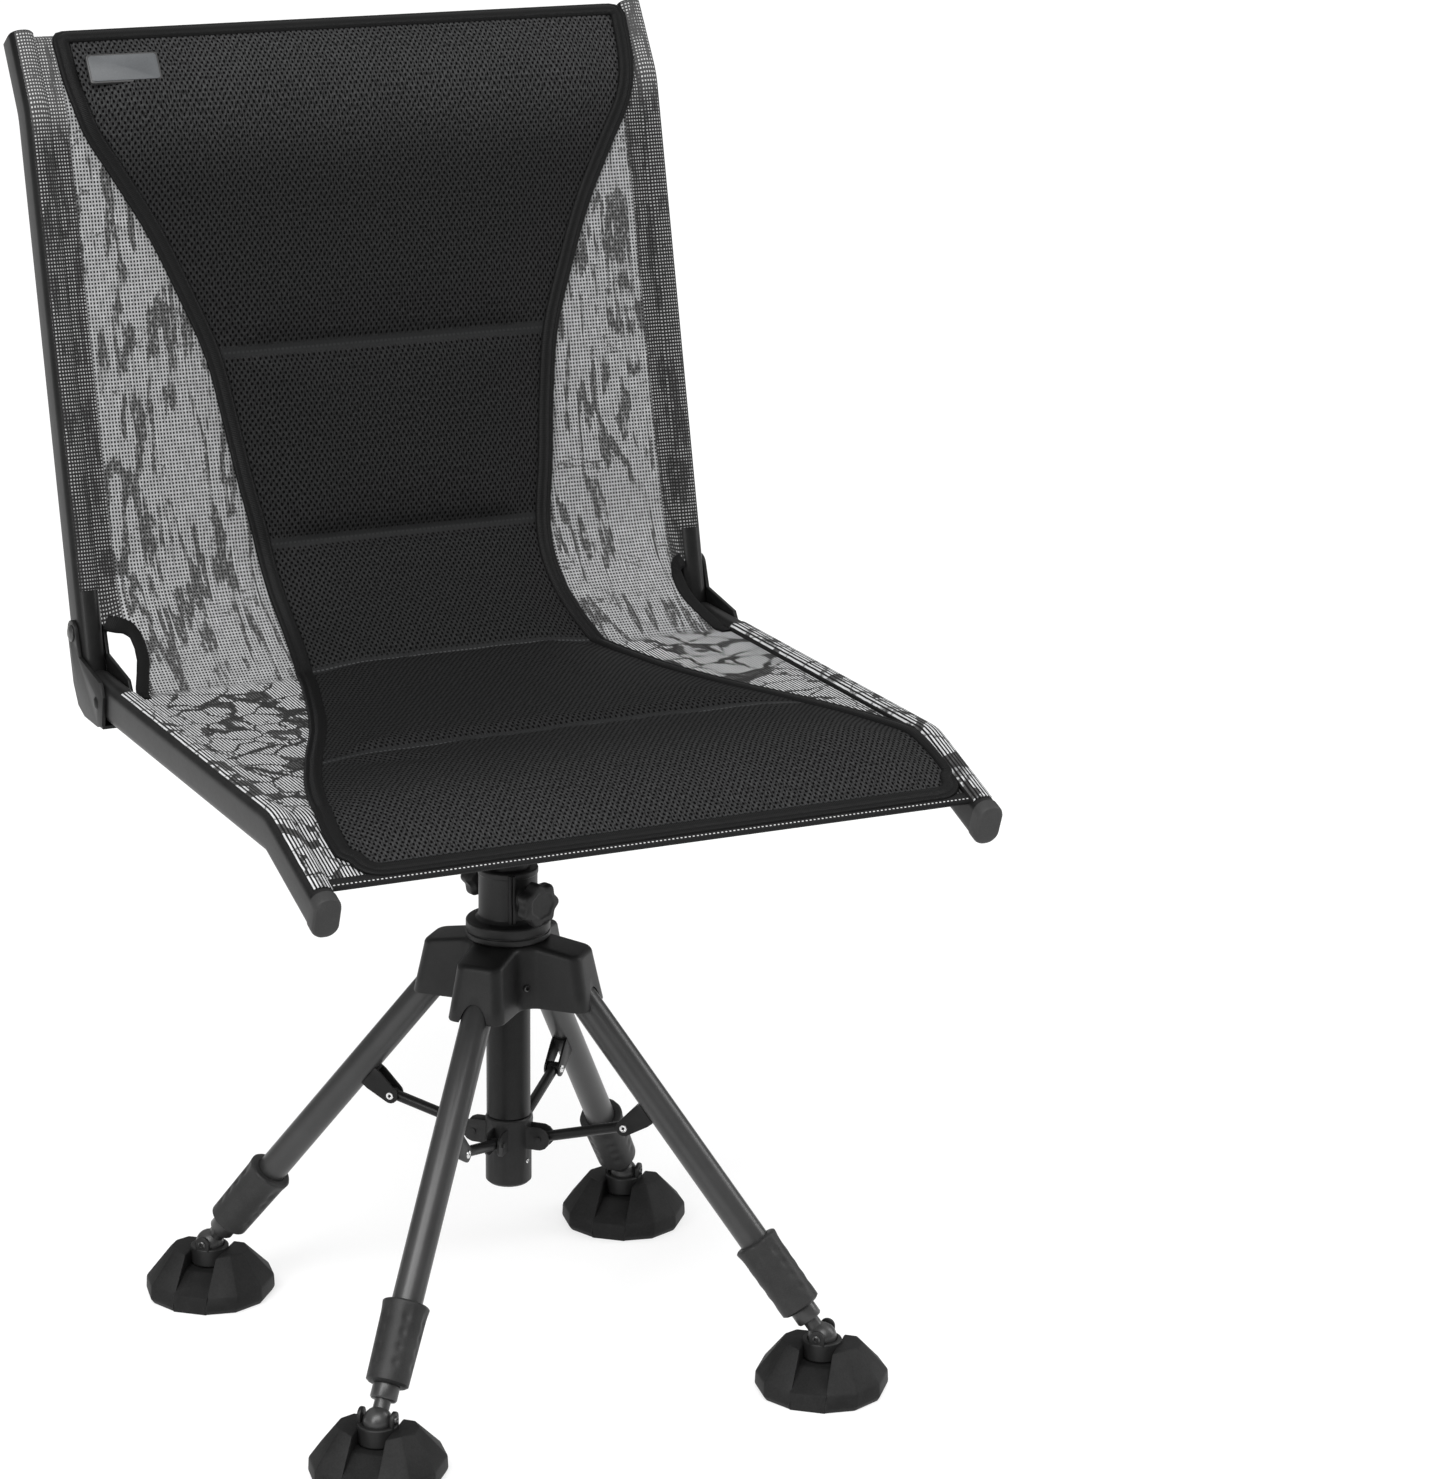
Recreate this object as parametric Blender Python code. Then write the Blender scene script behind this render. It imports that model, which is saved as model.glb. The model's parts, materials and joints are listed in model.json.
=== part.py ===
"""Blind swivel chair: a mesh seat with a folding back on a height-adjustable swivel post and a folding
four-legged base.

Metres, +Z up. The front of the seat faces -Y, and left is the -X side. The origin is on the floor, under the
middle of the bounding box. The column stands a little in front of it, at y = COLUMN_Y.
"""
import math

import bmesh
import bpy
from mathutils import Matrix, Vector

# ---------------------------------------------------------------- driving dimensions
COLUMN_Y = -0.036
GAP = 0.0003

# seat and back side rails (oval tube)
SEAT_WIDTH = 0.500
RAIL_W = 0.018
RAIL_D = 0.030
RAIL_WALL = 0.0018
RAIL_X = SEAT_WIDTH / 2 - RAIL_W / 2
RAIL_CORNER = 0.0082

SEAT_Z = 0.478
SEAT_REAR_Y = 0.1472
SEAT_BEND_Y = -0.218
SEAT_DIP = math.radians(20.0)
SEAT_DIP_LENGTH = 0.0885
BEND_RADIUS = 0.030

HINGE_Y = 0.175
HINGE_Z = 0.515
BACK_LEAN = math.radians(13.8)
BACK_BEND = math.radians(19.0)
BACK_BELOW = 0.052
BACK_STRAIGHT = 0.375
BACK_UPPER = 0.059
TOP_TUBE_R = 0.008
TOP_TUBE_DROP = 0.010

HINGE_BOLT_R = 0.0038
PLATE_T = 0.0025

# soft parts
SLING_T = 0.003
PAD_T = 0.012
SLING_HALF = RAIL_X - RAIL_W / 2 - 0.0006
SEAT_SLING_DEPTH = 0.005
BACK_SLING_FRONT = 0.0115

# seat support
BAR_R = 0.008
BAR_DROP = 0.046
BAR_FLAT_X = 0.115
BAR_END_X = 0.185
BAR_Z = 0.4725
BAR_SPACING = 0.100
REAR_BAR_Y = 0.092
PLATE_SIZE = 0.135
SEAT_PLATE_T = 0.004
SOCKET_R = 0.0220
SOCKET_BOTTOM = 0.3865

# column
POST_R = 0.0160
POST_BORE = 0.0142
POST_TOP = 0.4085
POST_BOTTOM = 0.1785
SLEEVE_R = 0.0213
SLEEVE_TOP = 0.368
RING_R = 0.0305
RING_TOP = 0.3293
HUB_TOP = 0.3155
HUB_DECK = 0.3105
HUB_BOTTOM = 0.270
HUB_BORE = POST_R + GAP
COLLAR_R = 0.0168
COLLAR_TOP = 0.1775
COLLAR_BOTTOM = 0.126
GUIDE_R = 0.0138
GUIDE_BORE = 0.0122
GUIDE_TOP = 0.340

LOBE_WIDTH = 0.043
LOBE_TOP_R = 0.0620
LOBE_BOTTOM_R = 0.0680
LEG_AZIMUTHS = {"front_left": -135.0, "front_right": -45.0, "rear_right": 45.0, "rear_left": 135.0}

# legs and linkage, in the vertical plane of each leg: r out from the column, z up
LEG_PIVOT = (0.043, 0.293)
LEG_ANGLE = math.radians(38.3)
LEG_R = 0.011
LEG_BORE = 0.0094
LEG_TOP = 0.0044
LEG_END = 0.262
GRIP_R = 0.0158
GRIP_START = 0.238
GRIP_END = 0.297
LOWER_R = 0.0090
LOWER_TOP = 0.150
FERRULE_R = 0.0096
FERRULE_END = 0.3075
STEM_R = 0.0058
BALL_AT = 0.3227
BALL_R = 0.0105
BRACKET_AT = 0.118
BRACKET_OUT = 0.0315
EAR_PIVOT = (0.0255, 0.163)
STRUT_R = 0.0040
EYE_R = 0.0046
EYE_T = 0.0076
SLOT = 0.0086
CHEEK_T = 0.0016
PIN_R = 0.0022
FOOT_R = 0.050
FOOT_TOP = 0.044
FOOT_EDGE = 0.012

CLAMP_R = 0.0145

KNOB_R = 0.0168
KNOB_T = 0.0125
KNOB_LOBES = 7
KNOB_START = 0.0272
KNOBS = {"height_knob": (math.radians(-75.0), 0.348), "lock_knob": (math.radians(100.0), 0.352)}


# ---------------------------------------------------------------- scene and materials
def clear_scene():
    for ob in list(bpy.data.objects):
        bpy.data.objects.remove(ob, do_unlink=True)


def material(name, colour, roughness, metallic):
    mat = bpy.data.materials.new(name)
    mat.use_nodes = True
    shader = mat.node_tree.nodes["Principled BSDF"]
    shader.inputs["Base Color"].default_value = (*colour, 1.0)
    shader.inputs["Roughness"].default_value = roughness
    shader.inputs["Metallic"].default_value = metallic
    return mat


def make_materials():
    return {
        "powder_coat": material("powder_coat", (0.020, 0.020, 0.021), 0.45, 0.4),
        "leg_metal": material("leg_metal", (0.055, 0.055, 0.057), 0.35, 0.7),
        "hub_plastic": material("hub_plastic", (0.028, 0.028, 0.029), 0.50, 0.0),
        "grip_plastic": material("grip_plastic", (0.022, 0.022, 0.023), 0.60, 0.0),
        "bright_steel": material("bright_steel", (0.55, 0.55, 0.56), 0.30, 1.0),
        "foot_rubber": material("foot_rubber", (0.014, 0.014, 0.014), 0.80, 0.0),
        "sling_mesh": material("sling_mesh", (0.22, 0.22, 0.23), 0.80, 0.0),
        "pad_mesh": material("pad_mesh", (0.012, 0.012, 0.013), 0.90, 0.0),
    }


# ---------------------------------------------------------------- mesh helpers
def add_object(name, bm, mat, smooth=True):
    """Closes a bmesh into a named object with outward faces."""
    bmesh.ops.remove_doubles(bm, verts=bm.verts, dist=0.00001)
    bmesh.ops.recalc_face_normals(bm, faces=bm.faces)
    mesh = bpy.data.meshes.new(name)
    bm.to_mesh(mesh)
    bm.free()
    ob = bpy.data.objects.new(name, mesh)
    bpy.context.collection.objects.link(ob)
    if mat is not None:
        mesh.materials.append(mat)
    if smooth:
        mesh.shade_smooth()
        mesh.set_sharp_from_angle(angle=math.radians(35))
    return ob


def hide_as_cutter(ob):
    ob.hide_render = True
    ob.display_type = "WIRE"


def boolean(ob, other, operation):
    mod = ob.modifiers.new("%s_%s" % (operation.lower(), other.name), "BOOLEAN")
    mod.operation = operation
    mod.solver = "EXACT"
    mod.object = other
    hide_as_cutter(other)
    return mod


def cut(ob, *others):
    for other in others:
        boolean(ob, other, "DIFFERENCE")


def unite(ob, *others):
    for other in others:
        boolean(ob, other, "UNION")


def loft(bm, loops, closed_path=False):
    """Bridges a list of equal point loops and caps the two ends."""
    rings = [[bm.verts.new(p) for p in loop] for loop in loops]
    count = len(rings[0])
    pairs = list(zip(rings, rings[1:]))
    if closed_path:
        pairs.append((rings[-1], rings[0]))
    for a, b in pairs:
        for i in range(count):
            j = (i + 1) % count
            bm.faces.new((a[i], a[j], b[j], b[i]))
    if not closed_path:
        bm.faces.new(rings[0])
        bm.faces.new(list(reversed(rings[-1])))


def lathe(bm, profile, segments=24):
    """Turns a closed (r, z) profile about Z. A profile with a bore stays off the axis."""
    loops = []
    for i in range(segments):
        a = 2 * math.pi * i / segments
        loops.append([(r * math.cos(a), r * math.sin(a), z) for r, z in profile])
    loft(bm, loops, closed_path=True)


def turned(name, profile, mat, segments=24):
    """A solid or hollow turned piece about local Z."""
    bm = bmesh.new()
    lathe(bm, profile, segments)
    bmesh.ops.remove_doubles(bm, verts=bm.verts, dist=0.000001)
    bmesh.ops.dissolve_degenerate(bm, edges=bm.edges, dist=0.000001)
    return add_object(name, bm, mat)


def rod(name, radius, z0, z1, mat, segments=16, bevel=0.0):
    """A solid round bar on local Z with an optional edge bevel."""
    bm = bmesh.new()
    if bevel:
        levels = [(radius - bevel, z0), (radius, z0 + bevel), (radius, z1 - bevel), (radius - bevel, z1)]
    else:
        levels = [(radius, z0), (radius, z1)]
    loft(bm, [circle(r, z, segments) for r, z in levels])
    return add_object(name, bm, mat)


def circle(r, z, segments):
    step = 2 * math.pi / segments
    return [(r * math.cos(i * step), r * math.sin(i * step), z) for i in range(segments)]


def pipe(name, outer, bore, z0, z1, mat, segments=24):
    """A plain tube on local Z."""
    return turned(name, [(outer, z0), (outer, z1), (bore, z1), (bore, z0)], mat, segments)


def prism(name, outline, y0, y1, mat, smooth=False):
    """Extrudes an (x, z) outline along local Y."""
    bm = bmesh.new()
    loft(bm, [[(x, y, z) for x, z in outline] for y in (y0, y1)])
    return add_object(name, bm, mat, smooth)


def box(name, low, high, mat):
    bm = bmesh.new()
    outline = [(low[0], low[2]), (high[0], low[2]), (high[0], high[2]), (low[0], high[2])]
    loft(bm, [[(x, y, z) for x, z in outline] for y in (low[1], high[1])])
    return add_object(name, bm, mat, smooth=False)


def arc(cx, cz, r, a0, a1, steps):
    """Points of an arc in degrees, both ends included."""
    return [
        (cx + r * math.cos(math.radians(a0 + (a1 - a0) * i / steps)),
         cz + r * math.sin(math.radians(a0 + (a1 - a0) * i / steps)))
        for i in range(steps + 1)
    ]


def place(ob, location=(0, 0, 0), rotation=(0, 0, 0), parent=None):
    ob.location = location
    ob.rotation_euler = rotation
    ob.parent = parent
    return ob


def empty(name, location=(0, 0, 0), rotation=(0, 0, 0), parent=None):
    ob = bpy.data.objects.new(name, None)
    bpy.context.collection.objects.link(ob)
    return place(ob, location, rotation, parent)


# ---------------------------------------------------------------- rails
def rail_section(width, depth, corner, steps=4):
    """Rounded rectangle as (across, along-depth) points."""
    pts = []
    for cx, cz, start in ((1, 1, 0), (-1, 1, 90), (-1, -1, 180), (1, -1, 270)):
        pts += arc(cx * (width / 2 - corner), cz * (depth / 2 - corner), corner, start, start + 90, steps)
    return pts


def bend_path(points, radius, steps=5):
    """Rounds the corners of a (y, z) path and returns points with their tangents."""
    path = []
    first = (Vector(points[1]) - Vector(points[0])).normalized()
    path.append((Vector(points[0]), first))
    for a, b, c in zip(points, points[1:], points[2:]):
        a, b, c = Vector(a), Vector(b), Vector(c)
        d0 = (b - a).normalized()
        d1 = (c - b).normalized()
        turn = d0.angle_signed(d1)
        back = radius * math.tan(abs(turn) / 2)
        for i in range(steps + 1):
            t = i / steps
            ang = turn * t
            side = Vector((d0.y, -d0.x)) * (1 if turn > 0 else -1)
            centre = b - d0 * back + side * radius
            spoke = -side * radius
            rot = Matrix.Rotation(-ang, 2)
            path.append((centre + rot @ spoke, rot @ d0))
    last = (Vector(points[-1]) - Vector(points[-2])).normalized()
    path.append((Vector(points[-1]), last))
    return path


def sweep_rail(name, path, x, sections, mat, origin):
    """Sweeps an outer and an inner section along a (y, z) path: an open-ended tube."""
    bm = bmesh.new()
    outer, inner = sections
    rings = []
    for section in (outer, inner):
        loops = []
        for point, tangent in path:
            normal = Vector((-tangent.y, tangent.x))
            loops.append([bm.verts.new((x + u - origin[0],
                                        point.x + normal.x * v - origin[1],
                                        point.y + normal.y * v - origin[2])) for u, v in section])
        rings.append(loops)
    count = len(outer)
    for loops in rings:
        for a, b in zip(loops, loops[1:]):
            for i in range(count):
                j = (i + 1) % count
                bm.faces.new((a[i], a[j], b[j], b[i]))
    for end in (0, -1):
        a, b = rings[0][end], rings[1][end]
        for i in range(count):
            j = (i + 1) % count
            bm.faces.new((a[i], a[j], b[j], b[i]))
    ob = add_object(name, bm, mat)
    ob.location = origin
    return ob


def cross_bore(name, radius, x, y, z, length):
    """A cutter along X."""
    ob = rod(name, radius, -length / 2, length / 2, None, segments=16)
    return place(ob, (x, y, z), (0, math.pi / 2, 0))


def seat_path():
    front_y = SEAT_BEND_Y - SEAT_DIP_LENGTH * math.cos(SEAT_DIP)
    front_z = SEAT_Z - SEAT_DIP_LENGTH * math.sin(SEAT_DIP)
    return bend_path([(SEAT_REAR_Y, SEAT_Z), (SEAT_BEND_Y, SEAT_Z), (front_y, front_z)], BEND_RADIUS)


def back_points():
    up = Vector((math.sin(BACK_LEAN), math.cos(BACK_LEAN)))
    lean2 = BACK_LEAN + BACK_BEND
    up2 = Vector((math.sin(lean2), math.cos(lean2)))
    pivot = Vector((HINGE_Y, HINGE_Z))
    bend = pivot + up * BACK_STRAIGHT
    return pivot - up * BACK_BELOW, pivot, bend, bend + up2 * BACK_UPPER, up, up2


def sections():
    inner = rail_section(RAIL_W - 2 * RAIL_WALL, RAIL_D - 2 * RAIL_WALL, RAIL_CORNER - RAIL_WALL)
    return rail_section(RAIL_W, RAIL_D, RAIL_CORNER), inner


def make_seat_rails(mats):
    for side, sign in (("left", -1), ("right", 1)):
        x = sign * RAIL_X
        rail = sweep_rail("seat_rail_" + side, seat_path(), x, sections(), mats["powder_coat"],
                          (x, SEAT_REAR_Y, SEAT_Z))
        cut(rail, cross_bore("bracket_bore_" + side, PIN_R + 0.0008 + GAP, x, BRACKET_RIVET[0],
                             BRACKET_RIVET[1], 0.05))


def make_end_caps(mats):
    end, tangent = seat_path()[-1]
    tilt = math.atan2(-tangent.y, -tangent.x)
    for side, sign in (("left", -1), ("right", 1)):
        x = sign * RAIL_X
        bm = bmesh.new()
        outline = rail_section(RAIL_W + 0.001, RAIL_D + 0.001, RAIL_CORNER)
        dome = [(0.0003, 1.0), (0.0045, 1.0), (0.0062, 0.90), (0.0070, 0.70)]
        plug = rail_section(RAIL_W - 2 * RAIL_WALL - 2 * GAP, RAIL_D - 2 * RAIL_WALL - 2 * GAP,
                            RAIL_CORNER - RAIL_WALL)
        loops = [[(u, 0.012, v) for u, v in plug], [(u, -0.0003, v) for u, v in plug]]
        loops += [[(u * k, -d, v * k) for u, v in outline] for d, k in dome]
        loft(bm, loops)
        cap = add_object("end_cap_" + side, bm, mats["grip_plastic"])
        place(cap, (x, end.x, end.y), (tilt, 0, 0))


# ---------------------------------------------------------------- back hinge brackets
BRACKET_RIVET = (0.122, 0.4765)


def bracket_outline():
    """Hinge plate in (y, z): a slim ear for the pivot that widens forward over the rail's rear end."""
    top = arc(HINGE_Y, HINGE_Z, 0.0095, -10, 170, 8)
    foot = [(0.1600, 0.501), (0.1130, 0.4935), (0.1065, 0.484), (0.1100, 0.462), (0.1200, 0.4590),
            (0.1500, 0.4590), (0.1640, 0.4640), (0.1740, 0.478)]
    return top + foot


def make_brackets(mats):
    for side, sign in (("left", -1), ("right", 1)):
        outer_x = sign * (SEAT_WIDTH / 2 + GAP)
        inner_x = sign * (SEAT_WIDTH / 2 - RAIL_W - GAP)
        plates = []
        for tag, x in (("outer", outer_x + sign * PLATE_T / 2), ("inner", inner_x - sign * PLATE_T / 2)):
            bm = bmesh.new()
            loft(bm, [[(x + dx, y, z) for y, z in bracket_outline()]
                      for dx in (-PLATE_T / 2, PLATE_T / 2)])
            plates.append(add_object("plate_%s_%s" % (tag, side), bm, mats["powder_coat"], smooth=False))
        bracket, inner = plates
        bracket.name = "hinge_bracket_" + side
        low_x, high_x = sorted((outer_x + sign * 0.001, inner_x - sign * 0.001))
        web = box("web_" + side, (low_x, 0.112, 0.4592), (high_x, 0.150, 0.4616), None)
        half = RAIL_W / 2 + PLATE_T + GAP
        rivet = headed_bolt("bracket_rivet_" + side, PIN_R + 0.0008, 0.0048, half - 0.0005, 0.0021, None)
        place(rivet, (sign * RAIL_X, *BRACKET_RIVET), (0, math.pi / 2, 0))
        unite(bracket, inner, web, rivet)
        cut(bracket, cross_bore("pivot_bore_" + side, HINGE_BOLT_R + GAP, sign * RAIL_X, HINGE_Y, HINGE_Z, 0.06))


def headed_bolt(name, shank_r, head_r, half, head_t, mat):
    """A bolt on local X with a domed head outside each plate."""
    profile = [(0.0, -half - head_t), (head_r * 0.6, -half - head_t * 0.9), (head_r, -half - head_t * 0.3),
               (head_r, -half), (shank_r, -half), (shank_r, half), (head_r, half),
               (head_r, half + head_t * 0.3), (head_r * 0.6, half + head_t * 0.9), (0.0, half + head_t)]
    bm = bmesh.new()
    loft(bm, [circle(max(r, 0.0005), z, 14) for r, z in profile])
    return add_object(name, bm, mat)


def make_hinge_fasteners(mats):
    half = RAIL_W / 2 + PLATE_T + 2 * GAP
    for side, sign in (("left", -1), ("right", 1)):
        bolt = headed_bolt("hinge_bolt_" + side, HINGE_BOLT_R, 0.0062, half, 0.0022, mats["bright_steel"])
        place(bolt, (sign * RAIL_X, HINGE_Y, HINGE_Z), (0, math.pi / 2, 0))


# ---------------------------------------------------------------- back
def make_back_rails(mats):
    low, pivot, bend, top, _, _ = back_points()
    path = bend_path([tuple(low), tuple(bend), tuple(top)], 0.05)
    for side, sign in (("left", -1), ("right", 1)):
        x = sign * RAIL_X
        rail = sweep_rail("back_rail_" + side, path, x, sections(), mats["powder_coat"],
                          (x, HINGE_Y, HINGE_Z))
        cut(rail, cross_bore("rail_bore_" + side, HINGE_BOLT_R + GAP, x, HINGE_Y, HINGE_Z, 0.04))


def make_top_tube(mats):
    _, _, _, top, _, up2 = back_points()
    at = top - up2 * TOP_TUBE_DROP
    half = SEAT_WIDTH / 2 - RAIL_W - GAP
    tube = pipe("back_top_tube", TOP_TUBE_R, TOP_TUBE_R - 0.0014, -half, half, mats["powder_coat"], 20)
    place(tube, (0, at.x, at.y), (0, math.pi / 2, 0))


# ---------------------------------------------------------------- soft parts
def soft_sheet(name, stations, thickness, mat):
    """Lofts a flat-sided sheet through (point, normal, half width) stations in the (y, z) plane."""
    bm = bmesh.new()
    loops = []
    for point, normal, half in stations:
        upper = point + normal * thickness
        loops.append([(-half, point.x, point.y), (half, point.x, point.y),
                      (half, upper.x, upper.y), (-half, upper.x, upper.y)])
    loft(bm, loops)
    return add_object(name, bm, mat)


def seat_surface(y):
    """Height and upward normal of the sling's seat at y."""
    z = SEAT_Z + RAIL_D / 2 - SEAT_SLING_DEPTH - SLING_T
    if y >= SEAT_BEND_Y:
        return Vector((y, z)), Vector((0, 1))
    drop = (SEAT_BEND_Y - y) * math.tan(SEAT_DIP)
    return Vector((y, z - drop)), Vector((-math.sin(SEAT_DIP), math.cos(SEAT_DIP)))


def back_surface(s):
    """Point and forward normal of the sling's back, s along the rail from the hinge."""
    _, pivot, bend, _, up, up2 = back_points()
    if s <= BACK_STRAIGHT:
        front = Vector((-up.y, up.x))
        return pivot + up * s + front * BACK_SLING_FRONT, front
    front = Vector((-up2.y, up2.x))
    return bend + up2 * (s - BACK_STRAIGHT) + front * BACK_SLING_FRONT, front


SEAT_PAD_WIDTHS = [(0.100, 0.120), (0.034, 0.137), (-0.036, 0.160), (-0.110, 0.192), (-0.170, 0.214),
                   (SEAT_BEND_Y, 0.226), (-0.262, 0.228), (-0.284, 0.222)]
BACK_PAD_WIDTHS = [(0.060, 0.119), (0.088, 0.124), (0.142, 0.1315), (0.190, 0.140), (0.238, 0.157),
                   (0.286, 0.177), (0.325, 0.198), (0.358, 0.216), (0.388, 0.224), (0.415, 0.226)]


def make_seat_soft(mats):
    ys = [0.106] + [y for y, _ in SEAT_PAD_WIDTHS] + [-0.292]
    stations = []
    for y in ys:
        point, normal = seat_surface(y)
        stations.append((point, normal, SLING_HALF))
    soft_sheet("seat_sling", stations, SLING_T, mats["sling_mesh"])
    stations = []
    for y, half in SEAT_PAD_WIDTHS:
        point, normal = seat_surface(y)
        stations.append((point + normal * (SLING_T + GAP), normal, half))
    soft_sheet("seat_pad", stations, PAD_T, mats["pad_mesh"])


def make_back_soft(mats):
    stations = []
    for s in [0.040] + [s for s, _ in BACK_PAD_WIDTHS] + [BACK_STRAIGHT + BACK_UPPER - 0.002]:
        point, normal = back_surface(s)
        stations.append((point - normal * SLING_T, normal, SLING_HALF))
    soft_sheet("back_sling", stations, SLING_T, mats["sling_mesh"])
    stations = []
    for s, half in BACK_PAD_WIDTHS:
        point, normal = back_surface(s)
        stations.append((point + normal * GAP, normal, half))
    soft_sheet("back_pad", stations, PAD_T, mats["pad_mesh"])


# ---------------------------------------------------------------- seat support
def make_cross_bars(mats):
    """Two dropped bars that carry the seat plate, and a straight one at the rear."""
    end_x = SEAT_WIDTH / 2 - RAIL_W - GAP
    low = BAR_Z - BAR_DROP
    for name, y in (("cross_bar_front", COLUMN_Y - BAR_SPACING / 2),
                    ("cross_bar_rear", COLUMN_Y + BAR_SPACING / 2)):
        half = bend_path([(0.0, low), (BAR_FLAT_X, low), (BAR_END_X, BAR_Z), (end_x, BAR_Z)], 0.025, 4)
        path = [(Vector((-p.x, p.y)), Vector((t.x, -t.y))) for p, t in reversed(half[1:])] + half[1:]
        bm = bmesh.new()
        loops = []
        for point, tangent in path:
            normal = Vector((-tangent.y, tangent.x))
            loops.append([(point.x + normal.x * v, y + u, point.y + normal.y * v)
                          for u, v, _ in circle(BAR_R, 0, 14)])
        loft(bm, loops)
        add_object(name, bm, mats["powder_coat"])
    bar = rod("rear_stretcher", BAR_R, -end_x, end_x, mats["powder_coat"], 14)
    place(bar, (0, REAR_BAR_Y, BAR_Z - 0.0035), (0, math.pi / 2, 0))


def make_seat_plate(mats):
    top = BAR_Z - BAR_DROP - BAR_R - GAP
    half = PLATE_SIZE / 2
    outline = []
    for cx, cy, start in ((1, 1, 0), (-1, 1, 90), (-1, -1, 180), (1, -1, 270)):
        outline += arc(cx * (half - 0.012), cy * (half - 0.012), 0.012, start, start + 90, 4)
    bm = bmesh.new()
    loft(bm, [[(x, y, z) for x, y in outline] for z in (top - SEAT_PLATE_T, top)])
    plate = add_object("seat_plate", bm, mats["powder_coat"])
    place(plate, (0, COLUMN_Y, 0))
    return top - SEAT_PLATE_T


def make_socket(mats, plate_bottom):
    """Swivel housing under the plate, which turns on the post's top."""
    top = plate_bottom - GAP
    flange = 0.032
    profile = [(POST_R + GAP, SOCKET_BOTTOM), (SOCKET_R, SOCKET_BOTTOM), (SOCKET_R, top - 0.008),
               (flange, top - 0.005), (flange, top), (0.006, top), (0.006, POST_TOP + 0.0035 + GAP),
               (POST_R + GAP, POST_TOP + 0.0035 + GAP)]
    socket = turned("swivel_socket", profile, mats["hub_plastic"], 28)
    place(socket, (0, COLUMN_Y, 0))


def radial(azimuth):
    """Rotation that lays local Z along a horizontal direction."""
    return (0, math.pi / 2, azimuth)


def make_knob(name, azimuth, z, mat):
    """Star knob with a domed face and its screw, on local Z, pointing out from the column."""
    bm = bmesh.new()
    samples = KNOB_LOBES * 8

    def star(scale, level):
        pts = []
        for i in range(samples):
            a = 2 * math.pi * i / samples
            r = KNOB_R * scale * (0.915 + 0.085 * math.cos(KNOB_LOBES * a))
            pts.append((r * math.cos(a), r * math.sin(a), level))
        return pts

    base = KNOB_START + GAP
    loft(bm, [star(0.86, base), star(1.0, base + 0.002), star(1.0, base + KNOB_T - 0.003),
              star(0.84, base + KNOB_T - 0.0006), star(0.45, base + KNOB_T)])
    knob = add_object(name, bm, mat)
    place(knob, (0, COLUMN_Y, z), radial(azimuth))
    screw = rod(name + "_screw", 0.003, POST_R + 0.0012, base + 0.004, None, 12)
    place(screw, (0, COLUMN_Y, z), radial(azimuth))
    unite(knob, screw)


# ---------------------------------------------------------------- column
def make_column(mats):
    post = turned("height_post", [(POST_R, POST_BOTTOM), (POST_R, POST_TOP), (POST_BORE, POST_TOP),
                                  (POST_BORE, POST_BOTTOM)], mats["leg_metal"], 28)
    place(post, (0, COLUMN_Y, 0))
    bearing = turned("swivel_bearing", [(0.0040, POST_TOP + GAP), (POST_R, POST_TOP + GAP),
                                        (POST_R, POST_TOP + 0.0035), (0.0040, POST_TOP + 0.0035)],
                     mats["bright_steel"], 28)
    place(bearing, (0, COLUMN_Y, 0))
    bore = POST_R + GAP
    base = HUB_TOP + GAP
    profile = [(bore, base), (RING_R - 0.0012, base), (RING_R, base + 0.0012), (RING_R, base + 0.0046),
               (RING_R - 0.0009, base + 0.0054), (RING_R, base + 0.0062), (RING_R, RING_TOP - 0.0015),
               (RING_R - 0.0015, RING_TOP), (SLEEVE_R, RING_TOP), (SLEEVE_R, SLEEVE_TOP - 0.0012),
               (SLEEVE_R - 0.0012, SLEEVE_TOP), (bore, SLEEVE_TOP)]
    sleeve = turned("clamp_sleeve", profile, mats["hub_plastic"], 32)
    place(sleeve, (0, COLUMN_Y, 0))
    for name, (azimuth, z) in KNOBS.items():
        boss = rod("boss_" + name, 0.0085, SLEEVE_R - 0.0045, KNOB_START, None, 16)
        place(boss, (0, COLUMN_Y, z), radial(azimuth))
        unite(sleeve, boss)
    for name, (azimuth, z) in KNOBS.items():
        screw_bore = rod("screw_bore_" + name, 0.003 + GAP, 0.010, 0.032, None, 12)
        place(screw_bore, (0, COLUMN_Y, z), radial(azimuth))
        cut(sleeve, screw_bore)


def lobe_outline():
    """One arm of the hub in (r, z)."""
    return [(0.0, HUB_BOTTOM), (LOBE_BOTTOM_R, HUB_BOTTOM), (LOBE_TOP_R + 0.0008, HUB_DECK - 0.004),
            (LOBE_TOP_R - 0.0030, HUB_DECK), (0.0300, HUB_TOP), (0.0, HUB_TOP)]


def slot_outline():
    """Swing space of a leg inside its lobe in (r, z), open below and outward."""
    r0, z0 = LEG_PIVOT
    out = Vector((math.cos(LEG_ANGLE), math.sin(LEG_ANGLE)))
    along = Vector((math.sin(LEG_ANGLE), -math.cos(LEG_ANGLE)))
    upper = Vector(LEG_PIVOT) + out * (LEG_R + 0.0010)
    far = upper + along * 0.062
    top = arc(r0, z0, LEG_R + 0.0025, 38, 150, 5)
    return [tuple(far)] + [tuple(upper)] + top + [(r0 - 0.0145, z0 - 0.004), (r0 - 0.0145, 0.250),
                                                  (far.x, 0.250)]


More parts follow.
